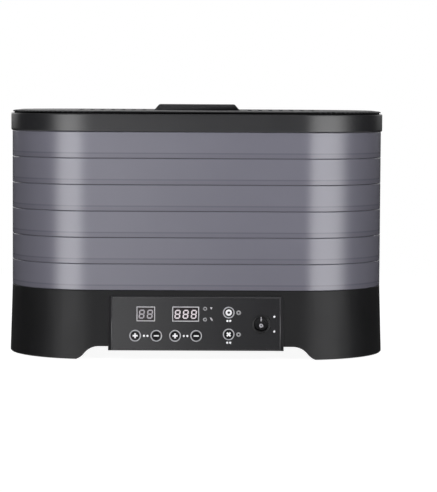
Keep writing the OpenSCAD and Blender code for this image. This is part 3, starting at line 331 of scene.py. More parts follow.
# A moulded or cast surface: two near colours in slow clouds, fine grain as bump, a gloss that drifts a little.
# Real mould grain is some 0.1 mm, too fine to show, so grainMm is drawn a few times coarser
def mouldedFinish(name, look):
    material, tree = newMaterial(name)
    place = addNode(tree, "ShaderNodeTexCoord")
    clouds = addNode(tree, "ShaderNodeTexNoise", None, {
        "Vector": place.outputs["Object"], "Scale": 1000 / look["cloudMm"], "Detail": 3.0})
    colour = addNode(tree, "ShaderNodeMix", {"data_type": "RGBA"}, {
        0: clouds.outputs["Fac"], 6: linear(look["colour"]), 7: linear(look["shade"])})
    drift = addNode(tree, "ShaderNodeMapRange", None, {
        "Value": clouds.outputs["Fac"], "From Min": 0.3, "From Max": 0.7,
        "To Min": look["rough"][0], "To Max": look["rough"][1]})
    grain = addNode(tree, "ShaderNodeTexNoise", None, {
        "Vector": place.outputs["Object"], "Scale": 1000 / look["grainMm"], "Detail": 2.0})
    bump = addNode(tree, "ShaderNodeBump", None, {
        "Height": grain.outputs["Fac"], "Strength": 0.5, "Distance": look["depthMm"] * mm})
    shader = addNode(tree, "ShaderNodeBsdfPrincipled", None, {
        "Base Color": colour.outputs[2], "Roughness": drift, "Normal": bump})
    for key, value in look.get("sockets", {}).items():
        shader.inputs[key].default_value = value
    closeMaterial(tree, shader)
    return material


# Tray rings: smoke-tinted SAN, injection moulded and glossy. Light sinks in a little. Where the lip of the ring
# below sits behind the wall, painted shade gives a slightly deeper band with a thin line above each joint, and
# each joint's groove gets painted shade too
ringLook = {"colour": "#6d6c77", "shade": "#71707b", "line": "#5c5b66", "paintedJointShade": "#403f48", "rough": 0.24,
            "lipMm": 4.5, "lineMm": (0.2, 1.1), "lineShare": 0.75, "bandFadeMm": 0.6, "bandShare": 0.28,
            "jointMm": (0.3, 0.9), "jointShare": 0.6, "flowMm": 60, "rippleMm": 14, "rippleDeepMm": 0.3}
smokedSan, tree = newMaterial("smokedSanMoulded")
place = addNode(tree, "ShaderNodeTexCoord")
flow = addNode(tree, "ShaderNodeTexNoise", None, {
    "Vector": place.outputs["Object"], "Scale": 1000 / ringLook["flowMm"], "Detail": 2.0})
tint = addNode(tree, "ShaderNodeMix", {"data_type": "RGBA"}, {
    0: flow.outputs["Fac"], 6: linear(ringLook["colour"]), 7: linear(ringLook["shade"])})
height = addNode(tree, "ShaderNodeSeparateXYZ", None, {0: place.outputs["Object"]})
aboveBase = addNode(tree, "ShaderNodeMath", {"operation": "SUBTRACT"}, {
    0: height.outputs["Z"], 1: stack["base"] * mm})
inRing = addNode(tree, "ShaderNodeMath", {"operation": "FLOORED_MODULO"}, {
    0: aboveBase, 1: stack["pitch"] * mm})
# Painted shade: a deeper band and a thin darker line over the lower ring's lip, standing in for light seen
# through the plastic
fromLip = addNode(tree, "ShaderNodeMath", {"operation": "SUBTRACT"}, {0: inRing, 1: ringLook["lipMm"] * mm})
nearLip = addNode(tree, "ShaderNodeMath", {"operation": "ABSOLUTE"}, {0: fromLip})
lipLine = addNode(tree, "ShaderNodeMapRange", {"interpolation_type": "SMOOTHSTEP"}, {
    "Value": nearLip, "From Min": ringLook["lineMm"][0] * mm, "From Max": ringLook["lineMm"][1] * mm,
    "To Min": ringLook["lineShare"], "To Max": 0.0})
lipBand = addNode(tree, "ShaderNodeMapRange", {"interpolation_type": "SMOOTHSTEP"}, {
    "Value": fromLip, "From Min": -ringLook["bandFadeMm"] * mm, "From Max": ringLook["bandFadeMm"] * mm,
    "To Min": ringLook["bandShare"], "To Max": 0.0})
lipShade = addNode(tree, "ShaderNodeMath", {"operation": "MAXIMUM"}, {0: lipLine, 1: lipBand})
paintedLipShade = addNode(tree, "ShaderNodeMix", {"data_type": "RGBA"}, {
    0: lipShade, 6: tint.outputs[2], 7: linear(ringLook["line"])})
# Painted shade: the colour darkens along each joint's groove between two rings, where shade falls
jointGap = addNode(tree, "ShaderNodeMath", {"operation": "PINGPONG"}, {
    0: aboveBase, 1: stack["pitch"] / 2 * mm})
jointShade = addNode(tree, "ShaderNodeMapRange", {"interpolation_type": "SMOOTHSTEP"}, {
    "Value": jointGap, "From Min": ringLook["jointMm"][0] * mm, "From Max": ringLook["jointMm"][1] * mm,
    "To Min": ringLook["jointShare"], "To Max": 0.0})
ringTone = addNode(tree, "ShaderNodeMix", {"data_type": "RGBA"}, {
    0: jointShade, 6: paintedLipShade.outputs[2], 7: linear(ringLook["paintedJointShade"])})
ripple = addNode(tree, "ShaderNodeTexNoise", None, {
    "Vector": place.outputs["Object"], "Scale": 1000 / ringLook["rippleMm"], "Detail": 1.0})
ringBump = addNode(tree, "ShaderNodeBump", None, {
    "Height": ripple.outputs["Fac"], "Strength": 0.12, "Distance": ringLook["rippleDeepMm"] * mm})
shader = addNode(tree, "ShaderNodeBsdfPrincipled", None, {
    "Base Color": ringTone.outputs[2], "Roughness": ringLook["rough"], "Normal": ringBump,
    "IOR": 1.57, "Subsurface Weight": 0.08, "Subsurface Radius": (0.6, 0.6, 0.7), "Subsurface Scale": 0.002})
closeMaterial(tree, shader)

# Base: black ABS from a spark-eroded mould, so the light breaks up into a soft even grey
blackAbs = mouldedFinish("blackAbsSparkTexture", {
    "colour": "#161617", "shade": "#19191a", "cloudMm": 45, "grainMm": 0.9, "depthMm": 0.05,
    "rough": (0.40, 0.46), "sockets": {"IOR": 1.5, "Specular IOR Level": 0.18}})
# Lid: the same ABS from a finer mould, a satin that still mirrors a lamp softly
satinAbs = mouldedFinish("blackAbsSatinMoulded", {
    "colour": "#212123", "shade": "#242426", "cloudMm": 40, "grainMm": 0.8, "depthMm": 0.02,
    "rough": (0.29, 0.34), "sockets": {"IOR": 1.54}})
# Lid's flat top: the same ABS with a fine texture, so lamps spread into a dull sheen
topAbs = mouldedFinish("blackAbsFineTexture", {
    "colour": "#212123", "shade": "#242426", "cloudMm": 40, "grainMm": 0.8, "depthMm": 0.03,
    "rough": (0.44, 0.5), "sockets": {"IOR": 1.5, "Specular IOR Level": 0.22}})
# Inside of the lid's shadow gap: painted shadow, the same ABS made near black and dull so the gap reads as a
# dark line
gapShadowPaint = mouldedFinish("paintedShadowGapBlack", {
    "colour": "#0b0b0c", "shade": "#0e0e0f", "cloudMm": 40, "grainMm": 0.6, "depthMm": 0.03,
    "rough": (0.8, 0.9), "sockets": {"IOR": 1.5, "Specular IOR Level": 0.1}})
# Grip: ABS with a deeper grain for the fingers
gripAbs = mouldedFinish("blackAbsGripMoulded", {
    "colour": "#222224", "shade": "#262627", "cloudMm": 20, "grainMm": 0.8, "depthMm": 0.06,
    "rough": (0.42, 0.5), "sockets": {"IOR": 1.5}})
# Control panel: graphite ABS, smooth with a dull sheen
panelAbs = mouldedFinish("graphiteAbsMoulded", {
    "colour": "#2a2a2c", "shade": "#2d2c2f", "cloudMm": 30, "grainMm": 0.7, "depthMm": 0.02,
    "rough": (0.28, 0.32), "sockets": {"IOR": 1.5}})
# Overlay: velvet polyester film, screen printed from behind, nearly without grain
overlayFilm = mouldedFinish("velvetPolyesterFilm", {
    "colour": "#222224", "shade": "#242426", "cloudMm": 60, "grainMm": 0.5, "depthMm": 0.008,
    "rough": (0.19, 0.22), "sockets": {"IOR": 1.58}})
# Printed marks: white screen ink, flat and opaque
whiteInk = mouldedFinish("whiteScreenInk", {
    "colour": "#f2f2f4", "shade": "#e6e6ea", "cloudMm": 6, "grainMm": 0.4, "depthMm": 0.01,
    "rough": (0.5, 0.6)})
greyInk = mouldedFinish("greyPadInk", {
    "colour": "#a09ea2", "shade": "#949297", "cloudMm": 5, "grainMm": 0.4, "depthMm": 0.01,
    "rough": (0.5, 0.6)})
# Printed borders and small marks: a light grey screen ink, thinner on the film than the white
paleInk = mouldedFinish("paleGreyScreenInk", {
    "colour": "#bfbdc1", "shade": "#b4b2b7", "cloudMm": 5, "grainMm": 0.4, "depthMm": 0.01,
    "rough": (0.5, 0.6)})
# Trim rings: white ABS, polished, with a crisp line of light on their rounded edge
whiteAbs = mouldedFinish("whiteAbsPolished", {
    "colour": "#b4b3b8", "shade": "#bdbdc2", "cloudMm": 12, "grainMm": 0.5, "depthMm": 0.01,
    "rough": (0.2, 0.26)})
# Keys: black silicone-coated caps, deep black and slightly silky
keyBlack = mouldedFinish("blackSiliconeCap", {
    "colour": "#09090b", "shade": "#0d0d0f", "cloudMm": 5, "grainMm": 0.4, "depthMm": 0.01,
    "rough": (0.36, 0.42), "sockets": {"Specular IOR Level": 0.12}})
# Display windows: smoked acrylic, near black with a clean mirror gloss
smokedAcrylic = mouldedFinish("smokedAcrylicWindow", {
    "colour": "#1d191b", "shade": "#221d1f", "cloudMm": 15, "grainMm": 3.0, "depthMm": 0.002,
    "rough": (0.12, 0.16)})
# Switch: PA66, moulded, a duller black than the keys
switchNylon = mouldedFinish("blackPa66Moulded", {
    "colour": "#101011", "shade": "#141416", "cloudMm": 9, "grainMm": 0.5, "depthMm": 0.02,
    "rough": (0.24, 0.30), "sockets": {"Specular IOR Level": 0.4}})
# Grates: black polypropylene, waxy sheen
blackPp = mouldedFinish("blackPpMoulded", {
    "colour": "#242426", "shade": "#2a2a2c", "cloudMm": 25, "grainMm": 0.7, "depthMm": 0.03,
    "rough": (0.4, 0.5)})
# Feet: nitrile rubber, pressed, dead matt
footRubber = mouldedFinish("nitrileRubberPressed", {
    "colour": "#161616", "shade": "#1d1c1c", "cloudMm": 6, "grainMm": 0.35, "depthMm": 0.03,
    "rough": (0.75, 0.85)})
# Board: glass-epoxy with green solder mask, glossy lacquer over faint copper relief
greenBoard = mouldedFinish("solderMaskOnFr4", {
    "colour": "#1c5a34", "shade": "#17492b", "cloudMm": 7, "grainMm": 1.6, "depthMm": 0.04,
    "rough": (0.22, 0.32), "sockets": {"Coat Weight": 0.4, "Coat Roughness": 0.15}})
# Loose parts on the boards: nylon and epoxy housings
componentNylon = mouldedFinish("ivoryNylonHousing", {
    "colour": "#c9c4b2", "shade": "#bdb8a6", "cloudMm": 9, "grainMm": 0.6, "depthMm": 0.02,
    "rough": (0.4, 0.5)})
tactBlack = mouldedFinish("blackPbtHousing", {
    "colour": "#1c1c1d", "shade": "#232324", "cloudMm": 6, "grainMm": 0.5, "depthMm": 0.02,
    "rough": (0.45, 0.55)})
# Fan: black PBT with a matt rib texture
fanPbt = mouldedFinish("blackPbtFan", {
    "colour": "#1b1b1c", "shade": "#212122", "cloudMm": 18, "grainMm": 0.6, "depthMm": 0.03,
    "rough": (0.45, 0.52)})
# Heater's strips: pressed mica, flaky and pearly
micaSheet = mouldedFinish("pressedMicaSheet", {
    "colour": "#b9a98a", "shade": "#9d8c6d", "cloudMm": 3, "grainMm": 1.2, "depthMm": 0.05,
    "rough": (0.3, 0.55), "sockets": {"Sheen Weight": 0.2}})
# Cutout's body: glazed steatite
steatite = mouldedFinish("glazedSteatite", {
    "colour": "#ddd8cb", "shade": "#d2ccbd", "cloudMm": 3, "grainMm": 0.5, "depthMm": 0.01,
    "rough": (0.25, 0.35)})
# Wires: PVC insulation, extruded, soft gloss
blackPvc = mouldedFinish("blackPvcInsulation", {
    "colour": "#1a1a1b", "shade": "#222223", "cloudMm": 12, "grainMm": 0.6, "depthMm": 0.01,
    "rough": (0.35, 0.42)})
ribbonPvc = mouldedFinish("greyPvcRibbon", {
    "colour": "#8b8d92", "shade": "#82848a", "cloudMm": 12, "grainMm": 0.6, "depthMm": 0.01,
    "rough": (0.4, 0.48)})
# Metals: zinc-plated steel, tinned brass, enamelled copper, oxidised resistance wire and drawn stainless
zincSteel = mouldedFinish("zincPlatedSteel", {
    "colour": "#bfc1c4", "shade": "#a9abb0", "cloudMm": 3, "grainMm": 0.5, "depthMm": 0.02,
    "rough": (0.28, 0.42), "sockets": {"Metallic": 1.0}})
tinnedBrass = mouldedFinish("tinnedBrassStamped", {
    "colour": "#c9c2ae", "shade": "#b7a985", "cloudMm": 4, "grainMm": 0.6, "depthMm": 0.01,
    "rough": (0.22, 0.34), "sockets": {"Metallic": 1.0}})
enamelledCopper = mouldedFinish("enamelledCopperWinding", {
    "colour": "#a5562c", "shade": "#7f3c1c", "cloudMm": 2, "grainMm": 0.5, "depthMm": 0.08,
    "rough": (0.25, 0.4), "sockets": {"Metallic": 1.0, "Coat Weight": 0.5}})
nichromeWire = mouldedFinish("oxidisedNichromeWire", {
    "colour": "#6b625c", "shade": "#514a46", "cloudMm": 4, "grainMm": 0.3, "depthMm": 0.01,
    "rough": (0.35, 0.5), "sockets": {"Metallic": 1.0}})
drawnStainless = mouldedFinish("drawnStainlessTube", {
    "colour": "#c6c7c9", "shade": "#b4b6b9", "cloudMm": 5, "grainMm": 0.4, "depthMm": 0.01,
    "rough": (0.2, 0.3), "sockets": {"Metallic": 1.0}})
# Lamps: opal polycarbonate, a milky glow-through lens
opalLens = mouldedFinish("opalPolycarbonateLens", {
    "colour": "#a3a3a6", "shade": "#99999c", "cloudMm": 4, "grainMm": 0.6, "depthMm": 0.005,
    "rough": (0.2, 0.26),
    "sockets": {"Subsurface Weight": 0.3, "Subsurface Radius": (1.0, 1.0, 1.0), "Subsurface Scale": 0.001}})
# Digit segments: lit diffusers behind the window, even and pale
hourGlow = mouldedFinish("paleSegmentGlow", {
    "colour": "#8f8b90", "shade": "#87838a", "cloudMm": 3, "grainMm": 1.0, "depthMm": 0.001,
    "rough": (0.3, 0.35), "sockets": {"Emission Color": linear("#a7a3a8"), "Emission Strength": 0.35}})
heatGlow = mouldedFinish("roseSegmentGlow", {
    "colour": "#a79fa4", "shade": "#9f989d", "cloudMm": 3, "grainMm": 1.0, "depthMm": 0.001,
    "rough": (0.3, 0.35), "sockets": {"Emission Color": linear("#e9dde3"), "Emission Strength": 0.45}})
print("finishes ready")

# Tray rings: insets count from the outer face and heights from the ring's foot
ring = {"wall": 2.4, "lipOut": 2.7, "lipIn": 4.3, "lipTop": 28.5, "lipFoot": 21, "flare": 18,
        "ledgeIn": 9.4, "ledgeTop": 8, "ledgeUnder": 6.2}
ringSection = [
    (0, 0, 0.6), (0, stack["pitch"], 0.6), (ring["lipOut"], stack["pitch"], 0.15),
    (ring["lipOut"], ring["lipTop"], 0.4), (ring["lipIn"], ring["lipTop"], 0.4),
    (ring["lipIn"], ring["lipFoot"], 0.6), (ring["wall"], ring["flare"], 0.6),
    (ring["wall"], ring["ledgeTop"], 0.3), (ring["ledgeIn"], ring["ledgeTop"], 0.4),
    (ring["ledgeIn"], ring["ledgeUnder"], 0.4), (ring["wall"], ring["ledgeUnder"], 0.3), (ring["wall"], 0, 0.3)]
for i in range(1, stack["rings"] + 1):
    foot = stack["base"] + (i - 1) * stack["pitch"]
    mesh = bandMesh(f"trayRing{i}", ringSection, smokedSan, lift=foot)
    addPiece(f"trayRing{i}", mesh, f"tray_ring_{i}", smokedSan, [f"tray_ring_{i}"], 50)
print("tray rings built")

# Spool grates: a rounded border with bars both ways, cut to the border's inner line
grate = {"outer": 4.6, "border": 9, "overlap": 1, "bar": 2.6, "thick": 3, "pitch": 13, "ribPitch": 52,
         "round": 0.5}
barTree, given = newTree("barsInBorder", [
    ("Reach", "NodeSocketFloat", 0.16), ("Across", "NodeSocketFloat", 0.11),
    ("Corner", "NodeSocketFloat", 0.068), ("Pitch", "NodeSocketFloat", 0.013),
    ("Bar", "NodeSocketObject", None), ("Turn", "NodeSocketFloat", 0.0),
    ("Material", "NodeSocketMaterial", None)])
half = addNode(barTree, "ShaderNodeMath", {"operation": "DIVIDE"}, {0: given["Across"], 1: given["Pitch"]})
each = addNode(barTree, "ShaderNodeMath", {"operation": "FLOOR"}, {0: half})
count = addNode(barTree, "ShaderNodeMath", {"operation": "MULTIPLY_ADD"}, {0: each, 1: 2.0, 2: 1.0})
first = addNode(barTree, "ShaderNodeMath", {"operation": "MULTIPLY"}, {0: each, 1: given["Pitch"]})
back = addNode(barTree, "ShaderNodeMath", {"operation": "MULTIPLY"}, {0: first, 1: -1.0})
start = addNode(barTree, "ShaderNodeCombineXYZ", None, {"Y": back})
step = addNode(barTree, "ShaderNodeCombineXYZ", None, {"Y": given["Pitch"]})
row = addNode(barTree, "GeometryNodeMeshLine", {"mode": "OFFSET"},
              {"Count": count, "Start Location": start, "Offset": step})
where = addNode(barTree, "GeometryNodeInputPosition")
split = addNode(barTree, "ShaderNodeSeparateXYZ", None, {0: where})
aside = addNode(barTree, "ShaderNodeMath", {"operation": "ABSOLUTE"}, {0: split.outputs["Y"]})
edge = addNode(barTree, "ShaderNodeMath", {"operation": "SUBTRACT"}, {0: given["Across"], 1: given["Corner"]})
past = addNode(barTree, "ShaderNodeMath", {"operation": "SUBTRACT"}, {0: aside, 1: edge})
within = addNode(barTree, "ShaderNodeMath", {"operation": "MAXIMUM"}, {0: past, 1: 0.0})
share = addNode(barTree, "ShaderNodeMath", {"operation": "DIVIDE"}, {0: within, 1: given["Corner"]})
slopeAngle = addNode(barTree, "ShaderNodeMath", {"operation": "ARCSINE"}, {0: share})
cosine = addNode(barTree, "ShaderNodeMath", {"operation": "COSINE"}, {0: slopeAngle})
lost = addNode(barTree, "ShaderNodeMath", {"operation": "SUBTRACT"}, {0: 1.0, 1: cosine})
cut = addNode(barTree, "ShaderNodeMath", {"operation": "MULTIPLY"}, {0: lost, 1: given["Corner"]})
length = addNode(barTree, "ShaderNodeMath", {"operation": "SUBTRACT"}, {0: given["Reach"], 1: cut})
size = addNode(barTree, "ShaderNodeCombineXYZ", None, {"X": length, "Y": 1.0, "Z": 1.0})
bar = addNode(barTree, "GeometryNodeObjectInfo", None, {"Object": given["Bar"]})
bars = addNode(barTree, "GeometryNodeInstanceOnPoints", None,
               {"Points": row, "Instance": bar.outputs["Geometry"], "Scale": size})
turned = addNode(barTree, "ShaderNodeCombineXYZ", None, {"Z": given["Turn"]})
laid = addNode(barTree, "GeometryNodeTransform", None, {0: bars, "Rotation": turned})
endTree(barTree, laid, given["Material"])

bm = bmesh.new()  # one bar, 2 m long before its scale, with softened long edges
barOutline = roundedOutline([(side * grate["bar"] / 2, rise * grate["thick"], grate["round"])
                             for side, rise in ((-1, 0), (1, 0), (1, 1), (-1, 1))], 2)
ends = [[bm.verts.new((x, p.x * mm, p.y * mm)) for p in barOutline] for x in (-1, 1)]
for k in range(len(barOutline)):
    bm.faces.new([ends[0][k - 1], ends[0][k], ends[1][k], ends[1][k - 1]])
for end in ends:
    bm.faces.new(end)
barHolder = addObject("grateBar", meshFrom(bm, "grateBar"))
inner = grate["outer"] + grate["border"] - grate["overlap"]  # the bars run into the border
borderSection = [(grate["outer"] + inward * grate["border"], rise * grate["thick"], grate["round"])
                 for inward, rise in ((0, 0), (1, 0), (1, 1), (0, 1))]
for ringsBelow, nodeName, bodyName in ((0, "spool_grate_lower", "lower_grate"),
                                       (3, "spool_grate_upper", "upper_grate")):
    low = stack["base"] + ringsBelow * stack["pitch"] + ring["ledgeTop"]
    sides = bandMesh("grateBorder", borderSection, blackPp, inset=grate["outer"], lift=low)
    bm = bmesh.new()
    bm.from_mesh(sides)
    for turn, reach, across, pitch in ((0, stack["width"], stack["depth"], grate["pitch"]),
                                       (pi / 2, stack["depth"], stack["width"], grate["ribPitch"])):
        bars = growMesh("grateBars", barTree, {
            "Reach": (reach / 2 - inner) * mm, "Across": (across / 2 - inner) * mm,
            "Corner": (stack["corner"] - inner) * mm, "Pitch": pitch * mm, "Bar": barHolder, "Turn": turn,
            "Material": blackPp})
        bars.transform(Matrix.Translation((0, 0, low * mm)))
        bm.from_mesh(bars)
    mesh = writeMesh(bm, bpy.data.meshes.new(bodyName))
    addPiece(bodyName + "Bars", mesh, bodyName, blackPp, [nodeName], 50)
bpy.data.objects.remove(barHolder)
print("grates built")

# Lid: skirt, vented top and grip
lid = {"foot": 208, "shoulder": 224.1, "under": 225.8, "top": 226.8, "over": 1.2, "round": 4, "wall": 2.4,
       "rim": 1.2, "seat": 223, "seatIn": 15, "seatUnder": 220.6, "gapDeeper": 0.5}
shoulderTurn = asin((lid["shoulder"] - lid["top"] + lid["round"]) / lid["round"])
shoulderCurve = [(lid["round"] * (1 - cos(a)) - lid["over"], lid["top"] + lid["round"] * (sin(a) - 1))
                 for a in [shoulderTurn * k / 4 for k in range(5)]]
skirtSection = [
    (-lid["over"], lid["foot"], 1.2), *[(x, y, 0) for x, y in shoulderCurve[:-1]], (*shoulderCurve[-1], 0.35),
    (lid["rim"], lid["shoulder"], 0.3), (lid["rim"], lid["seat"], 0.2), (lid["seatIn"], lid["seat"], 0.5),
    (lid["seatIn"], lid["seatUnder"], 0.5), (lid["wall"], lid["seatUnder"], 0.5),
    (lid["wall"], lid["foot"], 0.4)]
mesh = bandMesh("lidSkirt", skirtSection, satinAbs)
skirt = addPiece("lidSkirt", mesh, "lid", satinAbs, ["lid_frame"], 50)


def onLidTop(ends):
    return all(abs(v.z - lid["top"]) < 0.02 for v in ends)


mesh = softCopy("lid_panel", 0.45, onLidTop, 4)
lidTop = addPiece("lidTop", mesh, "lid", topAbs, ["lid_panel"], 50)
for vertex in lidTop.data.vertices:
    if abs(vertex.co.z / mm - lid["under"]) < 0.02:
        vertex.co.z -= lid["gapDeeper"] * mm  # closes the shadow gap to a thin dark line

# Faces inside the gap get the painted shadow, so they show as black
for piece, high in ((skirt, lid["shoulder"] - 0.05), (lidTop, lid["under"] + 0.02)):
    piece.data.materials.append(gapShadowPaint)
    for face in piece.data.polygons:
        spot = face.center / mm
        fromEdge = max(abs(spot.x) - stack["width"] / 2, abs(spot.y) - stack["depth"] / 2)
        outwards = face.normal.x * spot.x + face.normal.y * spot.y > 0.5 * spot.xy.length
        shows = piece is skirt and (outwards or face.normal.z > 0.02 and fromEdge > -1.1)
        if lid["seat"] - 0.1 < spot.z < high and not shows:
            face.material_index = 1

grip = {"halfDepth": 12, "footHeight": 0.5, "topHeight": 5.6, "round": 1.1}


def onGripOutside(ends):
    alongSide = all(abs(abs(v.y) - grip["halfDepth"]) < 0.02 for v in ends)
    aboveFoot = any(v.z > lid["top"] + grip["footHeight"] for v in ends)
    return alongSide and aboveFoot or all(v.z > lid["top"] + grip["topHeight"] for v in ends)


mesh = softCopy("lid_grip", grip["round"], onGripOutside, 4, 30)
addPiece("lidGrip", mesh, "lid", gripAbs, ["lid_grip"], 50)
print("lid built")

# Base housing: its feet and arches get a small round where they face outwards
housing = {"archTop": 13.6, "faceX": 170, "faceY": 122, "legX": 90, "legY": 42, "round": 0.5}


def onHousingFoot(ends):
    def faces(v):
        onFace = abs(v.x) > housing["faceX"] or abs(v.y) > housing["faceY"]
        return onFace or (abs(v.x) > housing["legX"] and abs(v.y) > housing["legY"])
    return all(v.z < housing["archTop"] and faces(v) for v in ends)


mesh = softCopy("base_housing", housing["round"], onHousingFoot, 4)
addPiece("baseHousing", mesh, "base", blackAbs, ["base_housing"], 50)
print("base housing built")

# Control panel: its own frame has u along, v up and w out of the face
panel = {"tilt": 4.7674, "y": 130.19, "z": 34.4, "width": 153.4, "height": 48.4, "round": 0.7, "displayV": 8.6,
         "hoursU": -45.6, "heatU": -9.4, "runU": 29.7, "runV": (10.1, -9.7), "keyStep": 9.6, "keyV": -11.2,
         "switchU": 59.2}
slope = radians(panel["tilt"])
panelFrame = Matrix(((1, 0, 0, 0), (0, sin(slope), -cos(slope), -panel["y"] * mm),
                     (0, cos(slope), sin(slope), panel["z"] * mm), (0, 0, 0, 1)))
panelTurn = panelFrame.to_3x3().to_4x4()  # the slope alone, for parts that are copied to their places
toPanel = panelFrame.inverted()


def onPanel(u, v, w=0.0):
    return panelFrame @ Matrix.Translation((u * mm, v * mm, w * mm))


def panelSpots(places, w=0.0):
    return [onPanel(u, v, w).translation / mm for u, v in places]


def onPanelFront(ends):
    spots = [toPanel @ (v * mm) / mm for v in ends]
    rim = [max(abs(p.x) - panel["width"] / 2, abs(p.y) - panel["height"] / 2) for p in spots]
    return all(abs(p.z) < 0.05 for p in spots) and all(abs(r) < 0.05 for r in rim)


mesh = softCopy("control_panel", panel["round"], onPanelFront, 4, 30)
addPiece("controlPanel", mesh, "base", panelAbs, ["control_panel"], 50)

# Printed borders, dots and marks on the overlay
ink = {"foot": -0.28, "top": 0.06, "line": 0.8, "dot": 1.0,
       "hoursBorder": (16.8, 13.4), "heatBorder": (24.4, 13.6),
       "dots": [(-47.2, -11.3), (-44.0, -11.3), (-11.0, -11.3), (-7.8, -11.3), (28.5, 2.6), (31.1, 2.6),
                (28.4, -17.2), (31.2, -17.2), (71.2, 6.5), (71.1, -6.9)],
       "warmMark": [(12.6, 14.9), (15.0, 14.9), (13.8, 12.6)],
       "coolMark": [(12.4, 5.4), (13.6, 5.6), (15.4, 3.2), (14.6, 2.2)]}
bm = bmesh.new()
for u, (w, h) in ((panel["hoursU"], ink["hoursBorder"]), (panel["heatU"], ink["heatBorder"])):
    hole = boxPoints(u, panel["displayV"], w - 2 * ink["line"], h - 2 * ink["line"], 0.3)
    cutPlate(bm, boxPoints(u, panel["displayV"], w, h, 0.4), [hole], ink["foot"], ink["top"], panelFrame)
for mark in (ink["warmMark"], ink["coolMark"]):
    cutPlate(bm, mark, [], 0, ink["top"], panelFrame)
addPiece("panelPrint", meshFrom(bm, "panelPrint"), "base", paleInk, (), 30)
bm = bmesh.new()
cutPlate(bm, circlePoints(0, 0, ink["dot"], 20), [], 0, ink["top"], panelTurn)
mesh = copiesMesh("panelDots", meshFrom(bm, "dot"), panelSpots(ink["dots"]), whiteInk)
addPiece("panelDots", mesh, "base", whiteInk, (), 30)

# Seven-segment digits, leaning a little
digit = {"height": 8.2, "width": 5.2, "stroke": 1.15, "thick": 0.05, "gap": 0.12, "lean": 0.10, "face": -0.24,
         "below": 0.2, "hours": (-3.7, 3.7), "heat": (-7.4, 0, 7.4)}


def digitMesh():
    bm = bmesh.new()
    half = digit["stroke"] / 2
    long = digit["height"] / 2 - half
    wide = digit["width"] - digit["stroke"]
    bars = [(0, y, wide, 0) for y in (-long, 0, long)]
    bars += [(sx * wide / 2, sy * long / 2, long, 1) for sx in (-1, 1) for sy in (-1, 1)]
    for x, y, length, upright in bars:
        reach = length / 2 - digit["gap"]
        shape = [(-reach, 0), (half - reach, half), (reach - half, half), (reach, 0), (reach - half, -half),
                 (half - reach, -half)]
        spots = [(x + (b if upright else a), y + (a if upright else b)) for a, b in shape]
        spots = [(a + b * digit["lean"], b) for a, b in spots]
        cutPlate(bm, spots, [], 0, digit["thick"], panelTurn)
    return meshFrom(bm, "digit")


for name, centreU, glow in (("hours", panel["hoursU"], hourGlow), ("heat", panel["heatU"], heatGlow)):
    places = [(centreU + step, panel["displayV"] - digit["below"]) for step in digit[name]]
    mesh = copiesMesh(name + "Digits", digitMesh(), panelSpots(places, digit["face"]), glow)
    addPiece(name + "Digits", mesh, "base", glow, (), 30)

# Trim rings around the keys
trim = {"inner": 4.3, "outer": 5.3, "proud": 0.5, "round": 0.35}
keyPlaces = {
    "hours_plus_key": (panel["hoursU"] - panel["keyStep"], panel["keyV"]),
    "hours_minus_key": (panel["hoursU"] + panel["keyStep"], panel["keyV"]),
    "temperature_plus_key": (panel["heatU"] - panel["keyStep"], panel["keyV"]),
    "temperature_minus_key": (panel["heatU"] + panel["keyStep"], panel["keyV"]),
    "start_key": (panel["runU"], panel["runV"][0]),
    "stop_key": (panel["runU"], panel["runV"][1])}
trimOutline = roundedOutline([
    (trim["inner"], -trim["proud"], 0), (trim["outer"], -trim["proud"], 0),
    (trim["outer"], trim["proud"], trim["round"]), (trim["inner"], trim["proud"], trim["round"])])
bm = bmesh.new()
turnedPart(bm, trimOutline, panelTurn, 40)
mesh = copiesMesh("keyTrims", meshFrom(bm, "trim"), panelSpots(keyPlaces.values()), whiteAbs)
addPiece("keyTrims", mesh, "base", whiteAbs, ["key_trim_rings"], 50)

# Keys: a dished cap on a flange and stem, with a printed mark
key = {"cap": 4.1, "capTop": 0.9, "dish": [(3.2, 0.86), (1.6, 0.80), (0, 0.78)], "flange": 5.2,
       "flangeTop": -2.55, "flangeFoot": -3.45, "stem": 1.4, "stemFoot": -7.9, "markFoot": 0.7, "markTop": 0.93,
       "arm": 2.3, "armHalf": 0.75, "minusHalf": 0.6, "ring": 2.9, "ringHole": 1.2, "crossScale": 1.02}
keyOutline = roundedOutline([
    (0, key["stemFoot"], 0), (key["stem"], key["stemFoot"], 0.2), (key["stem"], key["flangeFoot"], 0),
    (key["flange"], key["flangeFoot"], 0.2), (key["flange"], key["flangeTop"], 0.2),
    (key["cap"], key["flangeTop"], 0), (key["cap"], key["capTop"], 0.45), *[(r, h, 0) for r, h in key["dish"]]])
plusMark = crossPoints(key["arm"], key["armHalf"])
minusMark = boxPoints(0, 0, 2 * key["arm"], 2 * key["minusHalf"])
crossMark = [Matrix.Rotation(pi / 4, 2) @ Vector(p) * key["crossScale"] for p in plusMark]
for node, (u, v) in keyPlaces.items():
    bm = bmesh.new()
    turnedPart(bm, keyOutline, onPanel(u, v), 40, False)
    addPiece(node + "Cap", meshFrom(bm, node), node, keyBlack, [node], 50)
    if node == "start_key":
        mark, holes = circlePoints(0, 0, key["ring"]), [circlePoints(0, 0, key["ringHole"], 24)]
    elif node == "stop_key":
        mark, holes = crossMark, []
    else:
        mark, holes = (plusMark if "plus" in node else minusMark), []
    bm = bmesh.new()
    cutPlate(bm, mark, holes, key["markFoot"], key["markTop"], onPanel(u, v))
    addPiece(node + "Mark", meshFrom(bm, node + "Mark"), node, whiteInk, (), 30)

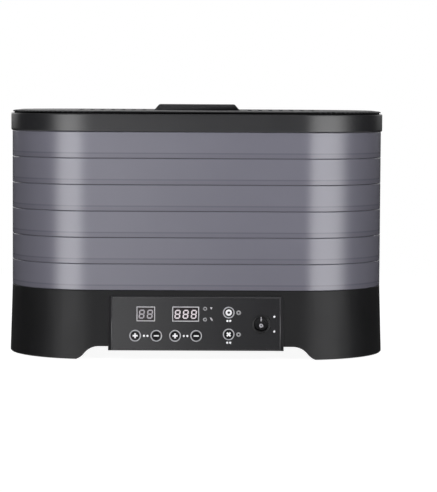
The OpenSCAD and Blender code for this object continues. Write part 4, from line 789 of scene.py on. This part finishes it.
# Lamps: an opal ring around a dark centre
lamp = {"foot": -10, "proud": 0.3, "recess": -0.1, "hole": 0.85}
lampColumns = ((38.7, (10, -9.8), 2.1), (8.2, (13.5, 3.7), 1.8))  # u, rows and radius: run lamps, unit lamps
bm = bmesh.new()
darkCentres = bmesh.new()
for u, rows, r in lampColumns:
    lampOutline = roundedOutline([
        (0, lamp["foot"], 0), (r, lamp["foot"], 0), (r, lamp["proud"], 0.3), (lamp["hole"], lamp["proud"], 0.25),
        (lamp["hole"], lamp["recess"], 0), (0, lamp["recess"], 0)])
    for v in rows:
        turnedPart(bm, lampOutline, onPanel(u, v), 32, False)
        cutPlate(darkCentres, circlePoints(0, 0, lamp["hole"], 24), [], lamp["recess"], 0, onPanel(u, v))
mesh = meshFrom(bm, "indicatorLamps")
addPiece("indicatorLamps", mesh, "base", opalLens, ["indicator_lamps"], 50)
addPiece("lampCentres", meshFrom(darkCentres, "lampCentres"), "base", smokedAcrylic, (), 30)

# Power switch: round bezel, and a rocker with its two marks
switch = {"rim": 1.6, "rimRound": 0.6, "rockerRound": 0.3, "tilt": 14, "markFoot": 1.7, "markTop": 1.86,
          "lineV": 4.3, "lineSize": (1.0, 3.9), "ringV": -2.1, "ring": 1.8, "ringHole": 0.6}


def onSwitchRim(ends):
    return all(abs((toPanel @ (v * mm)).z / mm - switch["rim"]) < 0.05 for v in ends)


mesh = softCopy("power_switch_body", switch["rimRound"], onSwitchRim, 4)
addPiece("switchBezel", mesh, "base", switchNylon, ["power_switch_body"], 40)
mesh = softCopy("power_switch_rocker", switch["rockerRound"], None, 2, 20)
addPiece("switchRocker", mesh, "rocker", switchNylon, ["power_switch_rocker"], 40)
upper = onPanel(panel["switchU"], 0, -1)  # at rest the upper flat lies parallel to the panel
lower = upper @ Matrix.Rotation(radians(-switch["tilt"]), 4, "X")
lineMark = boxPoints(0, switch["lineV"], *switch["lineSize"], 0.2)
ringMark = circlePoints(0, switch["ringV"], switch["ring"], 24)
ringHole = circlePoints(0, switch["ringV"], switch["ringHole"], 16)
bm = bmesh.new()
cutPlate(bm, lineMark, [], switch["markFoot"], switch["markTop"], upper)
cutPlate(bm, ringMark, [ringHole], switch["markFoot"], switch["markTop"], lower)
addPiece("rockerMarks", meshFrom(bm, "rockerMarks"), "rocker", greyInk, (), 30)
print("control panel built")


# Mains inlet at the back
inlet = {"face": 132.608, "round": 0.5}


def onInletFace(ends):
    return all(abs(v.y - inlet["face"]) < 0.02 for v in ends)


mesh = softCopy("inlet_socket", inlet["round"], onInletFace, 3)
addPiece("inletSocket", mesh, "base", switchNylon, ["inlet_socket"], 40)

# Feet: round pads with a shallow hollow that grips the table
pad = {"radius": 10, "height": 3, "hollow": 7.2, "hollowEdge": 7.5, "hollowDeep": 0.4, "x": 136, "y": 88}
padOutline = roundedOutline([
    (0, pad["height"], 0), (pad["radius"], pad["height"], 0), (pad["radius"], 0, 0.8),
    (pad["hollowEdge"], 0, 0.2), (pad["hollow"], pad["hollowDeep"], 0), (0, pad["hollowDeep"], 0)])
bm = bmesh.new()
turnedPart(bm, padOutline, Matrix(), 40, False)
places = [(x, y, 0) for x in (-pad["x"], pad["x"]) for y in (-pad["y"], pad["y"])]
mesh = copiesMesh("footPads", meshFrom(bm, "pad"), places, footRubber)
addPiece("footPads", mesh, "base", footRubber, ["foot_pads"], 50)

# Screws: the head lies below zero with a cross recess, and the shank runs up. Flat, arm and slot are shares
# of the head's radius, the round and the recess's floor are shares of its height
screwHead = {"flat": 0.72, "arm": 0.62, "slot": 0.16, "round": 0.35, "floor": 0.35, "steps": 28}


def screwMesh(shank, head, thick, length):
    bm = bmesh.new()
    steps, flatR = screwHead["steps"], head * screwHead["flat"]
    outline = roundedOutline([(flatR, -thick, 0), (head, -thick, thick * screwHead["round"]),
                              (head, 0, 0.1), (shank, 0, 0)])
    turnedPart(bm, [*outline, (shank, length), (0, length)], Matrix(), steps, False)
    cross = crossPoints(head * screwHead["arm"], head * screwHead["slot"])
    loops = [[Vector((x, y, 0)) for x, y in loop] for loop in (circlePoints(0, 0, flatR, steps), cross)]
    face = [bm.verts.new((p.x * mm, p.y * mm, -thick * mm)) for loop in loops for p in loop]
    for corners in tessellate_polygon(loops):
        bm.faces.new([face[k] for k in corners])
    floorZ = -thick * screwHead["floor"] * mm
    floor = [bm.verts.new((p.x * mm, p.y * mm, floorZ)) for p in loops[1]]
    for k in range(len(cross)):
        ahead = (k + 1) % len(cross)
        bm.faces.new([face[steps + k], face[steps + ahead], floor[ahead], floor[k]])
    bm.faces.new(floor)
    return meshFrom(bm, "screw")


bothWays = [(sx, sy) for sx in (-1, 1) for sy in (-1, 1)]
screwSets = {  # body, shank and head radius, head height, length, places
    "cover_screws": ("base", 1.5, 3.1, 2, 13.5, [(x, y, 14) for x, y in (
        (-140, -72), (140, -72), (-140, 72), (140, 72), (0, -85), (0, 85))]),
    "lid_screws": ("lid", 1.5, 3.1, 2, 5, [
        (sx * x, sy * y, lid["seatUnder"]) for x, y in ((44, 115.5), (163.5, 24)) for sx, sy in bothWays]),
    "grip_screws": ("lid", 1.5, 3.1, 2, 4.1, [(-37, 0, 224.3), (37, 0, 224.3)]),
    "fan_screws": ("base", 1.9, 3.6, 2.4, 33, [(sx * 41.25, sy * 41.25, 21) for sx, sy in bothWays])}
for node, (body, shank, head, thick, length, places) in screwSets.items():
    mesh = copiesMesh(node, screwMesh(shank, head, thick, length), places, zincSteel, 2 * pi, 5)
    addPiece(node.replace("_s", "S"), mesh, body, zincSteel, [node], 40)

# Heater coils: fine wire wound into a spring, bent into three rings
coil = {"rings": (14, 24, 34), "height": 51.3, "wind": 1.3, "wire": 0.3, "pitch": 1.7, "stepsPerTurn": 10}
coilTree, given = newTree("springAroundRing", [
    ("Ring", "NodeSocketFloat", 0.024), ("Wind", "NodeSocketFloat", 0.0013),
    ("Wire", "NodeSocketFloat", 0.0003), ("Turns", "NodeSocketFloat", 80.0),
    ("Turn Steps", "NodeSocketFloat", 10.0), ("Material", "NodeSocketMaterial", None)])
steps = addNode(coilTree, "ShaderNodeMath", {"operation": "MULTIPLY"},
                {0: given["Turns"], 1: given["Turn Steps"]})
circle = addNode(coilTree, "GeometryNodeCurvePrimitiveCircle", {"mode": "RADIUS"},
                 {"Resolution": steps, "Radius": given["Ring"]})
along = addNode(coilTree, "GeometryNodeSplineParameter")
phase = addNode(coilTree, "ShaderNodeMath", {"operation": "MULTIPLY"},
                {0: along.outputs["Factor"], 1: given["Turns"]})
angle = addNode(coilTree, "ShaderNodeMath", {"operation": "MULTIPLY"}, {0: phase, 1: 2 * pi})
rise = addNode(coilTree, "ShaderNodeMath", {"operation": "SINE"}, {0: angle})
swing = addNode(coilTree, "ShaderNodeMath", {"operation": "COSINE"}, {0: angle})
lift = addNode(coilTree, "ShaderNodeMath", {"operation": "MULTIPLY"}, {0: rise, 1: given["Wind"]})
reach = addNode(coilTree, "ShaderNodeMath", {"operation": "MULTIPLY"}, {0: swing, 1: given["Wind"]})
spot = addNode(coilTree, "GeometryNodeInputPosition")
outward = addNode(coilTree, "ShaderNodeVectorMath", {"operation": "NORMALIZE"}, {0: spot})
sideStep = addNode(coilTree, "ShaderNodeVectorMath", {"operation": "SCALE"}, {0: outward, "Scale": reach})
upStep = addNode(coilTree, "ShaderNodeCombineXYZ", None, {"Z": lift})
shift = addNode(coilTree, "ShaderNodeVectorMath", {"operation": "ADD"}, {0: sideStep, 1: upStep})
wound = addNode(coilTree, "GeometryNodeSetPosition", None, {0: circle, "Offset": shift})
wireRound = addNode(coilTree, "GeometryNodeCurvePrimitiveCircle", {"mode": "RADIUS"},
                    {"Resolution": 5, "Radius": given["Wire"]})
spring = addNode(coilTree, "GeometryNodeCurveToMesh", None, {"Curve": wound, "Profile Curve": wireRound})
endTree(coilTree, spring, given["Material"])
bm = bmesh.new()
for r in coil["rings"]:
    wire = growMesh("heaterCoil", coilTree, {
        "Ring": r * mm, "Wind": coil["wind"] * mm, "Wire": coil["wire"] * mm,
        "Turns": float(round(2 * pi * r / coil["pitch"])), "Turn Steps": float(coil["stepsPerTurn"]),
        "Material": nichromeWire})
    wire.transform(Matrix.Translation((0, 0, coil["height"] * mm)))
    bm.from_mesh(wire)
mesh = meshFrom(bm, "heaterCoils")
addPiece("heaterCoils", mesh, "base", nichromeWire, ["heater_coils"], 60)
print("fasteners and heater built")

# Nodes that keep their own shape get their finish here
kept = {
    "deck_plate": blackAbs, "bottom_cover": blackAbs, "panel_overlay": overlayFilm,
    "hours_display": smokedAcrylic, "temperature_display": smokedAcrylic, "control_board": greenBoard,
    "tact_switches": tactBlack, "control_board_screws": zincSteel, "inlet_pins": tinnedBrass,
    "inlet_screws": zincSteel, "power_board": greenBoard, "power_components": componentNylon,
    "power_board_screws": zincSteel, "fan_frame": fanPbt, "fan_motor": enamelledCopper, "fan_rotor": fanPbt,
    "heater_support": micaSheet, "thermal_cutout": steatite, "outlet_grille": blackPp,
    "temperature_probe": drawnStainless, "mains_wires": blackPvc, "switch_wires": blackPvc,
    "heater_wires": blackPvc, "fan_wires": blackPvc, "probe_wires": blackPvc, "panel_ribbon": ribbonPvc}
for name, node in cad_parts.items():
    if name in kept:
        for place in node.material_slots:
            place.material = kept[name]
print("kept nodes dressed")

# Studio: two tall soft lamps in front for the gloss, a dark card all round it, two white cards behind,
# and four wide lamps for the light itself
studio = {"ambient": 0.1, "lampRadius": 1.6, "lampHeights": (-0.9, 0.48), "backRadius": 2.5,
          "backHeights": (0.24, 1.4), "darkRadius": 2.6, "darkHeights": (-1.4, 2.2), "dark": 0.03}
world = bpy.data.worlds.new("studio")
scene.world = world
world.use_nodes = True
tree = world.node_tree
tree.nodes.clear()
path = addNode(tree, "ShaderNodeLightPath")
seen = addNode(tree, "ShaderNodeMath", {"operation": "ADD"}, {
    0: path.outputs["Is Camera Ray"], 1: path.outputs["Is Glossy Ray"]})
seen = addNode(tree, "ShaderNodeMath", {"operation": "ADD", "use_clamp": True}, {
    0: seen, 1: path.outputs["Is Transmission Ray"]})
ambient = addNode(tree, "ShaderNodeBackground", None, {"Color": (1, 1, 1, 1), "Strength": studio["ambient"]})
white = addNode(tree, "ShaderNodeBackground", None, {"Color": (1, 1, 1, 1), "Strength": 1.0})
sky = addNode(tree, "ShaderNodeMixShader", None, {0: seen, 1: ambient, 2: white})
addNode(tree, "ShaderNodeOutputWorld", None, {"Surface": sky})


# An upright curved card around the object, between two angles counted from straight ahead. It only
# shows in reflections
def addCard(name, fromAngle, toAngle, radius, heights, material):
    bm = bmesh.new()
    count = max(2, int(abs(toAngle - fromAngle) / 4))
    columns = []
    for k in range(count + 1):
        a = radians(fromAngle + (toAngle - fromAngle) * k / count)
        columns.append([bm.verts.new((radius * sin(a), -radius * cos(a), z)) for z in heights])
    for a, b in zip(columns, columns[1:]):
        bm.faces.new([a[0], b[0], b[1], a[1]])
    mesh = writeMesh(bm, bpy.data.meshes.new(name))
    mesh.materials.append(material)
    card = addObject(name, mesh)
    card.visible_camera = False
    card.visible_diffuse = False
    card.visible_shadow = False
    return card


softLamps = {  # angles in degrees: where the glow starts, is full, starts to fade and ends
    "leftLamp": {"edges": (-13, -22, -43, -62), "strength": 5.1},
    "leftFill": {"edges": (0.5, -3, -20, -23), "strength": 1.35},
    "rightLamp": {"edges": (17, 24, 50, 76), "strength": 4.9}}
for name, look in softLamps.items():
    material, tree = newMaterial(name)
    place = addNode(tree, "ShaderNodeTexCoord")
    split = addNode(tree, "ShaderNodeSeparateXYZ", None, {0: place.outputs["Object"]})
    ahead = addNode(tree, "ShaderNodeMath", {"operation": "MULTIPLY"}, {0: split.outputs["Y"], 1: -1.0})
    angle = addNode(tree, "ShaderNodeMath", {"operation": "ARCTAN2"}, {0: split.outputs["X"], 1: ahead})
    start, full, fade, end = (radians(edge) for edge in look["edges"])
    rise = addNode(tree, "ShaderNodeMapRange", {"interpolation_type": "SMOOTHSTEP"}, {
        "Value": angle, "From Min": start, "From Max": full, "To Min": 0.0, "To Max": look["strength"]})
    feather = addNode(tree, "ShaderNodeMapRange", {"interpolation_type": "SMOOTHSTEP"}, {
        "Value": angle, "From Min": fade, "From Max": end, "To Min": 1.0, "To Max": 0.0})
    both = addNode(tree, "ShaderNodeMath", {"operation": "MULTIPLY"}, {0: rise, 1: feather})
    glow = addNode(tree, "ShaderNodeEmission", None, {"Strength": both})
    closeMaterial(tree, glow)
    addCard(name, look["edges"][0], look["edges"][3], studio["lampRadius"], studio["lampHeights"], material)

material, tree = newMaterial("darkCard")
closeMaterial(tree, addNode(tree, "ShaderNodeEmission", None, {"Strength": studio["dark"]}))
darkCard = addCard("darkCard", -180, 180, studio["darkRadius"], studio["darkHeights"], material)
darkCard.visible_transmission = False

for name, fromAngle, toAngle, strength in (("backCardRight", 130, 184, 0.8), ("backCardLeft", 184, 230, 1.5)):
    material, tree = newMaterial(name)
    closeMaterial(tree, addNode(tree, "ShaderNodeEmission", None, {"Strength": strength}))
    addCard(name, fromAngle, toAngle, studio["backRadius"], studio["backHeights"], material)

areaLamps = {  # where, what it looks at, its width and depth in metres, watts
    "leftKey": ((-0.95, -1.6, 0.85), (0, 0, 0.12), (0.8, 0.8), 21),
    "rightKey": ((0.95, -1.6, 0.85), (0, 0, 0.12), (0.8, 0.8), 20),
    "backLamp": ((0, 2.0, 1.3), (0, 0, 0.12), (1.6, 1.2), 26),
    "topLamp": ((0, -0.2, 2.2), (0, 0, 0.1), (1.4, 1.4), 14)}
for name, (where, aim, sizes, watts) in areaLamps.items():
    data = bpy.data.lights.new(name, "AREA")
    data.shape = "RECTANGLE"
    data.size, data.size_y = sizes
    data.energy = watts
    areaLamp = addObject(name, data)
    aimed = (Vector(aim) - Vector(where)).to_track_quat("-Z", "Y")
    areaLamp.matrix_world = Matrix.Translation(where) @ aimed.to_matrix().to_4x4()
    areaLamp.visible_camera = False
    areaLamp.visible_glossy = False

# Floor: pale matt board that whitens away from the object and keeps its shadow
board = {"bounce": "#8f8f8e", "shadowed": 0.3, "glow": 0.93, "whiteFrom": 0.35, "whiteBy": 0.9, "half": 8,
         "under": -0.0002}
material, tree = newMaterial("paleFloorBoard")
path = addNode(tree, "ShaderNodeLightPath")
place = addNode(tree, "ShaderNodeTexCoord")
away = addNode(tree, "ShaderNodeVectorMath", {"operation": "LENGTH"}, {0: place.outputs["Object"]})
far = addNode(tree, "ShaderNodeMapRange", {"interpolation_type": "SMOOTHSTEP"}, {
    "Value": away.outputs["Value"], "From Min": board["whiteFrom"], "From Max": board["whiteBy"],
    "To Min": 0.0, "To Max": 1.0})
bounce = addNode(tree, "ShaderNodeBsdfDiffuse", None, {"Color": linear(board["bounce"])})
soft = addNode(tree, "ShaderNodeBsdfDiffuse", None, {"Color": (*[board["shadowed"]] * 3, 1)})
base = addNode(tree, "ShaderNodeEmission", None, {"Color": (1, 1, 1, 1), "Strength": board["glow"]})
near = addNode(tree, "ShaderNodeAddShader", None, {0: soft, 1: base})
clear = addNode(tree, "ShaderNodeEmission", None, {"Color": (1, 1, 1, 1), "Strength": 1.0})
shown = addNode(tree, "ShaderNodeMixShader", None, {0: far, 1: near, 2: clear})
whole = addNode(tree, "ShaderNodeMixShader", None, {0: path.outputs["Is Camera Ray"], 1: bounce, 2: shown})
closeMaterial(tree, whole)
bm = bmesh.new()
bm.faces.new([bm.verts.new((x * board["half"], y * board["half"], board["under"]))
              for x, y in ((-1, -1), (1, -1), (1, 1), (-1, 1))])
floorMesh = writeMesh(bm, bpy.data.meshes.new("studioFloor"))
floorMesh.materials.append(material)
floor = addObject("studioFloor", floorMesh)
floor.visible_glossy = False
print("studio set")
